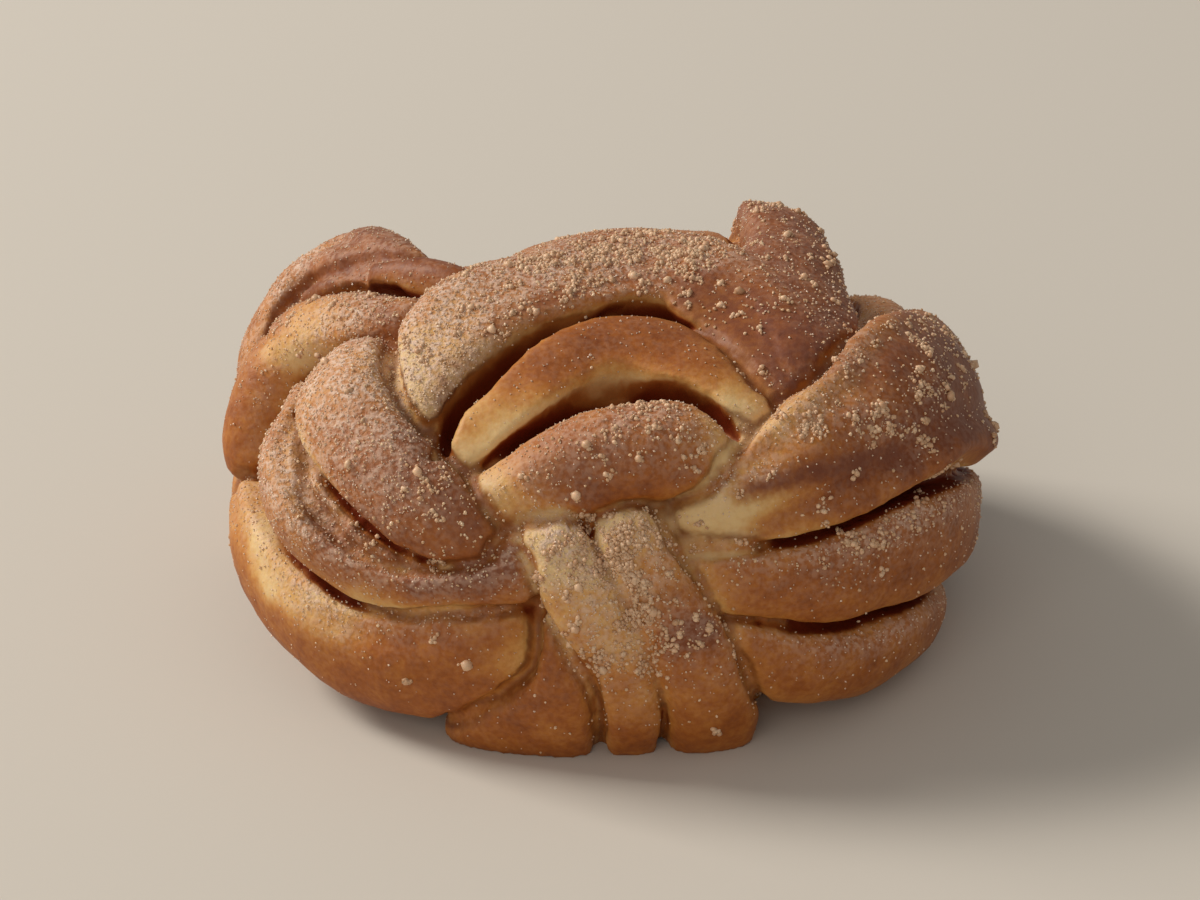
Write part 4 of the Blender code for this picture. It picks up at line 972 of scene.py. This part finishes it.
def roughen(mesh, rings):
    """The lumps, blisters and lengthwise wrinkles of a baked crust, and bumps where sugar is thick."""
    edges, points = edges_of(mesh), points_of(mesh)
    normals = averaged(normals_of(mesh), edges, 3)
    near = rings.nearest(points)
    whose = rings.whose[near]
    wrinkle_length, wrinkles_around, wrinkle_height = WRINKLES
    lengthwise = np.stack([
        rings.along[near] * rings.lengths[whose] / wrinkle_length,
        rings.around[near] * wrinkles_around,
        whose * STRAND_SHIFT], axis=1)
    raised = noise_at(points, LUMPS[0], 1) * LUMPS[1]
    raised += noise_at(lengthwise, 1.0, 2) * wrinkle_height
    raised += noise_at(points, BLISTERS[0], 3) * BLISTERS[1]
    thick = np.clip(coated("clumps", points, rings, near), 0, 1)
    raised += thick * noise_patches(points, *SUGAR_BUMPS) * SUGAR_BUMP_HEIGHT
    raised *= np.clip(points[:, 2] / BASE_FADE, 0, 1)
    points = points + normals * averaged(raised, edges, 1)[:, None]
    points[points[:, 2] < BASE_EDGE, 2] = 0
    move_points(mesh, points)


# What the materials read from the skin


def sky_directions():
    """Directions spread evenly over the whole sphere."""
    steps = np.arange(SKY_DIRECTIONS) + 0.5
    height = 1 - 2 * steps / SKY_DIRECTIONS
    turn = np.pi * (1 + 5 ** 0.5) * steps
    level = np.sqrt(1 - height ** 2)
    return np.stack([np.cos(turn) * level, np.sin(turn) * level, height], axis=1)


def open_sky(mesh, points, normals):
    """How open each point is, from 0 deep in a fold to 1 on top of a bulge."""
    surface = surface_of(mesh)
    ways = sky_directions()
    vectors = [Vector(way) for way in ways]
    opened = np.empty(len(points))
    starts = points + normals * RAY_START
    for i, (start, cosines) in enumerate(zip(starts.tolist(), normals @ ways.T)):
        seen, whole = 0.0, 0.0
        for j in np.flatnonzero(cosines > FLATTEST_RAY):
            distance = surface.ray_cast(start, vectors[j], SKY_REACH)[3]
            whole += cosines[j]
            seen += cosines[j] * (1.0 if distance is None else distance / SKY_REACH * MET_SHARE)
        opened[i] = seen / whole
    return opened


def streak_share(reach, path, points):
    """How strongly a streak colours each point, from 0 to 1."""
    spots = np.array([dome_point(*spot, STREAK_LIFT) for spot in path])
    margin = 3 * reach + STREAK_DEPTH
    close = np.all((points > spots.min(axis=0) - margin) & (points < spots.max(axis=0) + margin), axis=1)
    _, _, away, above = beside(path, STREAK_LIFT, STREAK_STATIONS, points[close])
    share = np.zeros(len(points))
    share[close] = bell(away, reach) * np.clip(2 - 2 * np.abs(above) / STREAK_DEPTH, 0, 1)
    return share


def patch_amount(along, around, amount, middle, reach, side=0.25, side_reach=0.3):
    """What a patch adds at each point."""
    return amount * bell(along - middle, reach) * bell(round_offset(around, side), side_reach)


def coated(kind, points, rings, near):
    """The strands' own value of this kind at each point, changed by their patches and the streaks."""
    whose = rings.whose[near]
    along = rings.along[near] + noise_at(points, 5.0, 4) * PATCH_WANDER[0]
    around = rings.around[near] + noise_at(points, 4.0, 5) * PATCH_WANDER[1]
    coats = [getattr(look_of(name), kind) for name in rings.names]
    values = np.array([own for own, *_ in coats])[whose]
    for number, (_, *patches) in enumerate(coats):
        mine = whose == number
        for patch in patches:
            values[mine] += patch_amount(along[mine], around[mine], *patch)
    for amount, reach, path in STREAKS[kind]:
        values += amount * streak_share(reach, path, points)
    return values


def colour_values(mesh, rings):
    """Writes what the crust material reads, and returns each kind of sugar's density at each point."""
    points, normals, edges = points_of(mesh), normals_of(mesh), edges_of(mesh)
    near = rings.nearest(points)
    opened = averaged(open_sky(mesh, points, normals), edges, 3)
    upwards = np.clip(normals[:, 2], -1, 1)

    def settled(values, on_walls, opening):
        level = np.clip(on_walls[0] + on_walls[1] * upwards, 0, 1)
        return values * (level * np.clip(opened * OPENING_SCALE - opening, 0, 1))

    brown = coated("brown", points, rings, near)
    brown += BROWN_BY_OPENING * (opened - MIDDLE_OPENING) + MOTTLING * noise_at(points, 5.0, 4)
    spice = coated("spice", points, rings, near)
    clumps = coated("clumps", points, rings, near) * np.clip(opened * OPENING_SCALE - GRAIN_OPENING, 0, 1)
    dust = coated("dust", points, rings, near) + DUST_FROM_CLUMPS * np.clip(clumps, 0, 1)
    dust = settled(dust, DUST_ON_WALLS, DUST_OPENING)
    grains = coated("grains", points, rings, near) + GRAINS_FROM_CLUMPS * np.clip(clumps, 0, 1)
    grains = settled(grains, GRAINS_ON_WALLS, GRAIN_OPENING)
    patchy = noise_patches(points, *BROAD_PATCHES) + noise_patches(points, *FINE_PATCHES)
    for name, values in (("brown", brown), ("spice", spice), ("dust", dust)):
        write_values(mesh, name, averaged(np.clip(values, 0, 1), edges, 2))
    # opened also sets where shade is painted into the deep folds and creases
    write_values(mesh, "opened", opened)
    write_values(mesh, "seam", averaged(seams(points, edges, rings.owners[near])[1], edges, 1))
    return {
        "fine_sugar": np.clip(dust, 0, 1),
        "coarse_sugar": np.clip(grains * (1 + patchy), 0, MOST_GRAINS),
        "sugar_clumps": np.clip(clumps, 0, MOST_CLUMPS) * noise_patches(points, *BUNCHES),
    }


# Sugar


def grain_shape(sides):
    """A unit grain, as points and triangles: a lump of 20 sides, or else a double pyramid of 8."""
    shape = bmesh.new()
    if sides == LUMP_SIDES:
        bmesh.ops.create_icosphere(shape, subdivisions=1, radius=1)
    else:
        bmesh.ops.create_uvsphere(shape, u_segments=4, v_segments=2, radius=1)
    points = np.array([vertex.co[:] for vertex in shape.verts])
    faces = np.array([[vertex.index for vertex in face.verts] for face in shape.faces])
    shape.free()
    return points, faces


def random_turns(chance, count):
    """Random rotation matrices."""
    quaternions = chance.normal(size=(count, 4))
    quaternions /= np.linalg.norm(quaternions, axis=1)[:, None]
    w, x, y, z = quaternions.T
    return np.stack([
        1 - 2 * (y * y + z * z), 2 * (x * y - w * z), 2 * (x * z + w * y),
        2 * (x * y + w * z), 1 - 2 * (x * x + z * z), 2 * (y * z - w * x),
        2 * (x * z - w * y), 2 * (y * z + w * x), 1 - 2 * (x * x + y * y)], axis=1).reshape(-1, 3, 3)


def places_on(mesh, density, sugar, chance):
    """Random places on the skin and the outward direction there, more of them where density is high."""
    mesh.calc_loop_triangles()
    corners = rows_of(mesh.loop_triangles, "vertices", 3, np.int32)
    a, b, c = (points_of(mesh)[corners[:, i]] for i in range(3))
    slopes = np.cross(b - a, c - a)
    doubled = np.linalg.norm(slopes, axis=1)
    weights = doubled / 2 * density[corners].mean(axis=1)
    count = min(int(weights.sum() * sugar.density), sugar.most)
    picked = chance.choice(len(weights), count, p=weights / weights.sum())
    first, second = chance.random((2, count, 1))
    over = first + second > 1
    first, second = np.where(over, 1 - first, first), np.where(over, 1 - second, second)
    places = a[picked] + (b - a)[picked] * first + (c - a)[picked] * second
    return places, slopes[picked] / doubled[picked][:, None]


def lump_places(mesh):
    """Where the largest lumps lie on the skin, the outward direction there, and their radius."""
    surface = surface_of(mesh)
    chance = np.random.default_rng(LUMP_SEED)
    found = []
    for name, (count, first, last, left, right) in SUGARED.items():
        rings, _ = strand_rings(STRANDS[name], ())
        for i in range(count):
            step = i + 0.5 + chance.uniform(-LUMP_JITTER, LUMP_JITTER)
            turn = (i * GOLDEN_SHARE + chance.uniform(0, LUMP_JITTER)) % 1
            station = int((first + (last - first) * step / count) * (len(rings) - 1))
            side = int((left + (right - left) * turn) * SECTION_SIDES) % SECTION_SIDES
            place, outward = surface.find_nearest(rings[station][side])[:2]
            found.append((*place, *outward, chance.uniform(*LUMP_RADIUS)))
    for bearing, climb, radius in LONE_LUMPS:
        place, outward = surface.find_nearest(dome_point(bearing, climb, STREAK_LIFT))[:2]
        found.append((*place, *outward, radius))
    return np.split(np.array(found), (3, 6), axis=1)


def bunches(sugar, mesh, density, chance):
    """Each grain's middle, the outward direction there, and its radius."""
    places, outwards = places_on(mesh, density, sugar, chance)
    largest = np.zeros(len(places))
    if sugar.bunch > 1:
        lumps, ways, radii = lump_places(mesh)
        places, outwards = np.vstack([places, lumps]), np.vstack([outwards, ways])
        largest = np.concatenate([largest, radii[:, 0] * LARGEST_SHARE])
    places, outwards = np.repeat(places, sugar.bunch, axis=0), np.repeat(outwards, sugar.bunch, axis=0)
    count = len(places)
    size = sugar.radius[0] + (sugar.radius[1] - sugar.radius[0]) * chance.random(count) ** 2
    first = np.arange(count) % sugar.bunch == 0
    size[first] = np.maximum(size[first], largest)
    offsets = chance.normal(0, BUNCH_SPREAD, (count, 3))
    offsets -= np.sum(offsets * outwards, axis=1)[:, None] * outwards
    return places + offsets * ~first[:, None], outwards, size


def sugar_object(name, skin, density):
    """Grains that lie on the skin, as one mesh."""
    sugar = SUGARS[name]
    chance = np.random.default_rng(SEED + sugar.bunch)
    places, outwards, size = bunches(sugar, skin, density, chance)
    count = len(places)
    points, faces = grain_shape(sugar.sides)
    stretch = chance.uniform(*GRAIN_STRETCH, (count, 1, 3))
    dents = chance.uniform(*GRAIN_DENTS, (count, len(points), 1))
    grains = points[None] * (stretch * dents) * size[:, None, None]
    grains = np.einsum("nij,nkj->nki", random_turns(chance, count), grains)
    grains += (places + outwards * size[:, None] * sugar.raised)[:, None]
    grains[..., 2] = np.maximum(grains[..., 2], 0)
    numbers = faces[None] + np.arange(count)[:, None, None] * len(points)
    mesh = bpy.data.meshes.new(name)
    mesh.from_pydata((grains.reshape(-1, 3) * MM).tolist(), [], numbers.reshape(-1, 3).tolist())
    write_values(mesh, "shade", np.repeat(chance.random(count), len(points)))
    mesh.materials.append(sugar_material(name, sugar.dark, sugar.light))
    if sugar.bunch > 1:
        mesh.shade_smooth()
    return placed(name, mesh)


# Materials


class Graph:
    """A material's nodes."""

    def __init__(self, name):
        self.material = bpy.data.materials.new(name)
        self.material.use_nodes = True
        self.tree = self.material.node_tree
        self.shader = self.tree.nodes["Principled BSDF"]
        self.place = self.tree.nodes.new("ShaderNodeTexCoord").outputs["Object"]

    def feed(self, node, inputs):
        """Links or sets the node's inputs, which are given by name or number."""
        for name, value in inputs.items():
            if isinstance(value, bpy.types.NodeSocket):
                self.tree.links.new(value, node.inputs[name])
            else:
                node.inputs[name].default_value = value

    def node(self, kind, inputs, output, **settings):
        """One output of a new node with these inputs and settings."""
        made = self.tree.nodes.new("ShaderNode" + kind)
        for name, value in settings.items():
            setattr(made, name, value)
        self.feed(made, inputs)
        return made.outputs[output]

    def value(self, name):
        return self.node("Attribute", {}, "Fac", attribute_name=name)

    def noise(self, size, detail=2.0):
        inputs = {"Vector": self.place, "Scale": 1 / (size * MM), "Detail": detail}
        return self.node("TexNoise", inputs, "Fac")

    def math(self, operation, value, *others):
        """The first value with each of the others added, or multiplied, in turn."""
        for other in others:
            value = self.node("Math", {0: value, 1: other}, 0, operation=operation)
        return value

    def remap(self, *amounts):
        """A value, moved smoothly from a low and a high to a new low and a new high."""
        return self.node("MapRange", dict(enumerate(amounts)), 0, interpolation_type="SMOOTHSTEP")

    def mix(self, factor, first, second):
        return self.node("Mix", {0: factor, 6: first, 7: second}, 2, data_type="RGBA")

    def ramp(self, value, stops):
        made = self.tree.nodes.new("ShaderNodeValToRGB")
        self.feed(made, {0: value})
        elements = made.color_ramp.elements
        elements[0].position, elements[0].color = stops[0]
        elements[1].position, elements[1].color = stops[-1]
        for position, colour in stops[1:-1]:
            elements.new(position).color = colour
        return made.outputs[0]

    def bump(self, height, depth, strength, **below):
        """The normal of a relief of this depth, over the one that may be given as Normal."""
        inputs = {"Strength": strength, "Distance": depth * MM, "Height": height, **below}
        return self.node("Bump", inputs, "Normal")

    def finished(self, inputs):
        self.feed(self.shader, inputs)
        return self.material


def crust_material():
    """Baked dough, from pale in the folds to dark on top, with cinnamon and a dust of sugar, and cinnamon
    filling with painted shade in the creases and the least open folds.
    """
    graph = Graph("baked_crust_look")
    opened, dust = graph.value("opened"), graph.value("dust")
    pores, specks = graph.noise(PORE_SIZE), graph.noise(SPECK_SIZE)
    mottle = graph.remap(graph.noise(MOTTLE_SIZE, MOTTLE_DETAIL), *MOTTLED)
    brown = graph.math("ADD", graph.value("brown"), mottle, graph.remap(pores, *PORES_BROWNED))
    spice_specks = graph.remap(graph.noise(SPICE_SIZE), *SPICE_SPECKLED)
    spiced = graph.math("MULTIPLY", graph.value("spice"), spice_specks)
    dust_patches = graph.remap(graph.noise(DUST_PATCH_SIZE), *DUST_PATCHED)
    dusty = graph.math(
        "MULTIPLY", dust, graph.remap(specks, *DUST_SPECKLED), dust_patches,
        graph.remap(spiced, *DUST_UNDER_SPICE))
    # Cinnamon in the joints, darkened further with painted shade where they are less open
    seam = graph.remap(graph.value("seam"), *CREASE_BY_SEAM)
    creased_and_shaded = graph.math("MULTIPLY", seam, graph.remap(opened, *CREASE_SHADE_BY_OPENING))
    # Painted shade, with cinnamon filling, in the least open folds
    deep = graph.remap(opened, *DEEP_BY_OPENING)
    colour = graph.ramp(brown, CRUST_COLOURS)
    for share, over in (
            (spiced, SPICE_COLOUR), (dusty, DUST_COLOUR), (creased_and_shaded, CREASE_AND_SHADE_COLOUR),
            (graph.remap(deep, *FILLING_EDGE_AND_SHADE_BY_DEPTH), FILLING_EDGE_AND_SHADE_COLOUR),
            (graph.remap(deep, *FILLING_AND_SHADE_BY_DEPTH), FILLING_AND_SHADE_COLOUR)):
        colour = graph.mix(share, colour, over)
    porous = graph.bump(pores, *PORE_BUMP)
    return graph.finished({
        "Base Color": colour,
        "Roughness": graph.remap(dusty, *ROUGHNESS_BY_DUST),
        "Specular IOR Level": 0.25,
        "Normal": graph.bump(graph.math("MULTIPLY", specks, dust), *DUST_BUMP, Normal=porous),
        "Subsurface Weight": 0.06,
        "Subsurface Radius": (1.0, 0.45, 0.2),
        "Subsurface Scale": 0.0025,
    })


def sugar_material(name, dark, light):
    graph = Graph(name)
    return graph.finished({
        "Base Color": graph.mix(graph.value("shade"), dark, light),
        "Roughness": 0.4,
        "Subsurface Weight": 0.15,
        "Subsurface Radius": (1.0, 0.6, 0.35),
        "Subsurface Scale": 0.001,
    })


# Floor, light and camera


def floor_object():
    shape = bmesh.new()
    bmesh.ops.create_grid(shape, x_segments=1, y_segments=1, size=FLOOR_SIZE / 2)
    mesh = bpy.data.meshes.new("floor")
    shape.to_mesh(mesh)
    shape.free()
    mesh.materials.append(Graph("pale_floor").finished({"Base Color": FLOOR_COLOUR, "Roughness": 0.9}))
    placed("floor", mesh)


def area_light(name, place, size, power, colour):
    """A soft square lamp that faces the roll."""
    lamp = bpy.data.lights.new(name, "AREA")
    lamp.size = size
    lamp.energy = power
    lamp.color = colour
    made = placed(name, lamp)
    made.location = place
    made.rotation_euler = (Vector(CAMERA_TARGET) - Vector(place)).to_track_quat("-Z", "Y").to_euler()


def sky_light():
    world = bpy.data.worlds.new("soft_sky")
    world.use_nodes = True
    background = world.node_tree.nodes["Background"]
    background.inputs["Color"].default_value = SKY_COLOUR
    background.inputs["Strength"].default_value = SKY_STRENGTH
    bpy.context.scene.world = world


def camera_object():
    pitch = math.radians(CAMERA_PITCH)
    back = Vector((0, -math.cos(pitch), math.sin(pitch)))
    lens = bpy.data.cameras.new("camera")
    lens.lens = CAMERA_LENS
    made = placed("camera", lens)
    made.location = Vector(CAMERA_TARGET) + back * CAMERA_DISTANCE
    made.rotation_euler = (-back).to_track_quat("-Z", "Y").to_euler()
    bpy.context.scene.camera = made


def main():
    bpy.context.scene.view_settings.view_transform = "Standard"
    camera_object()
    sky_light()
    for lamp in LAMPS:
        area_light(*lamp)
    floor_object()
    rings = Rings()
    crust = skin_object(rings)
    roughen(crust.data, rings)
    thin_out(crust)
    densities = colour_values(crust.data, rings)
    crust.data.materials.clear()
    crust.data.materials.append(crust_material())
    crust.data.shade_smooth()
    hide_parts(NODE)
    pieces = [crust] + [sugar_object(name, crust.data, density) for name, density in densities.items()]
    for piece in pieces:
        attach(piece, "root")


main()
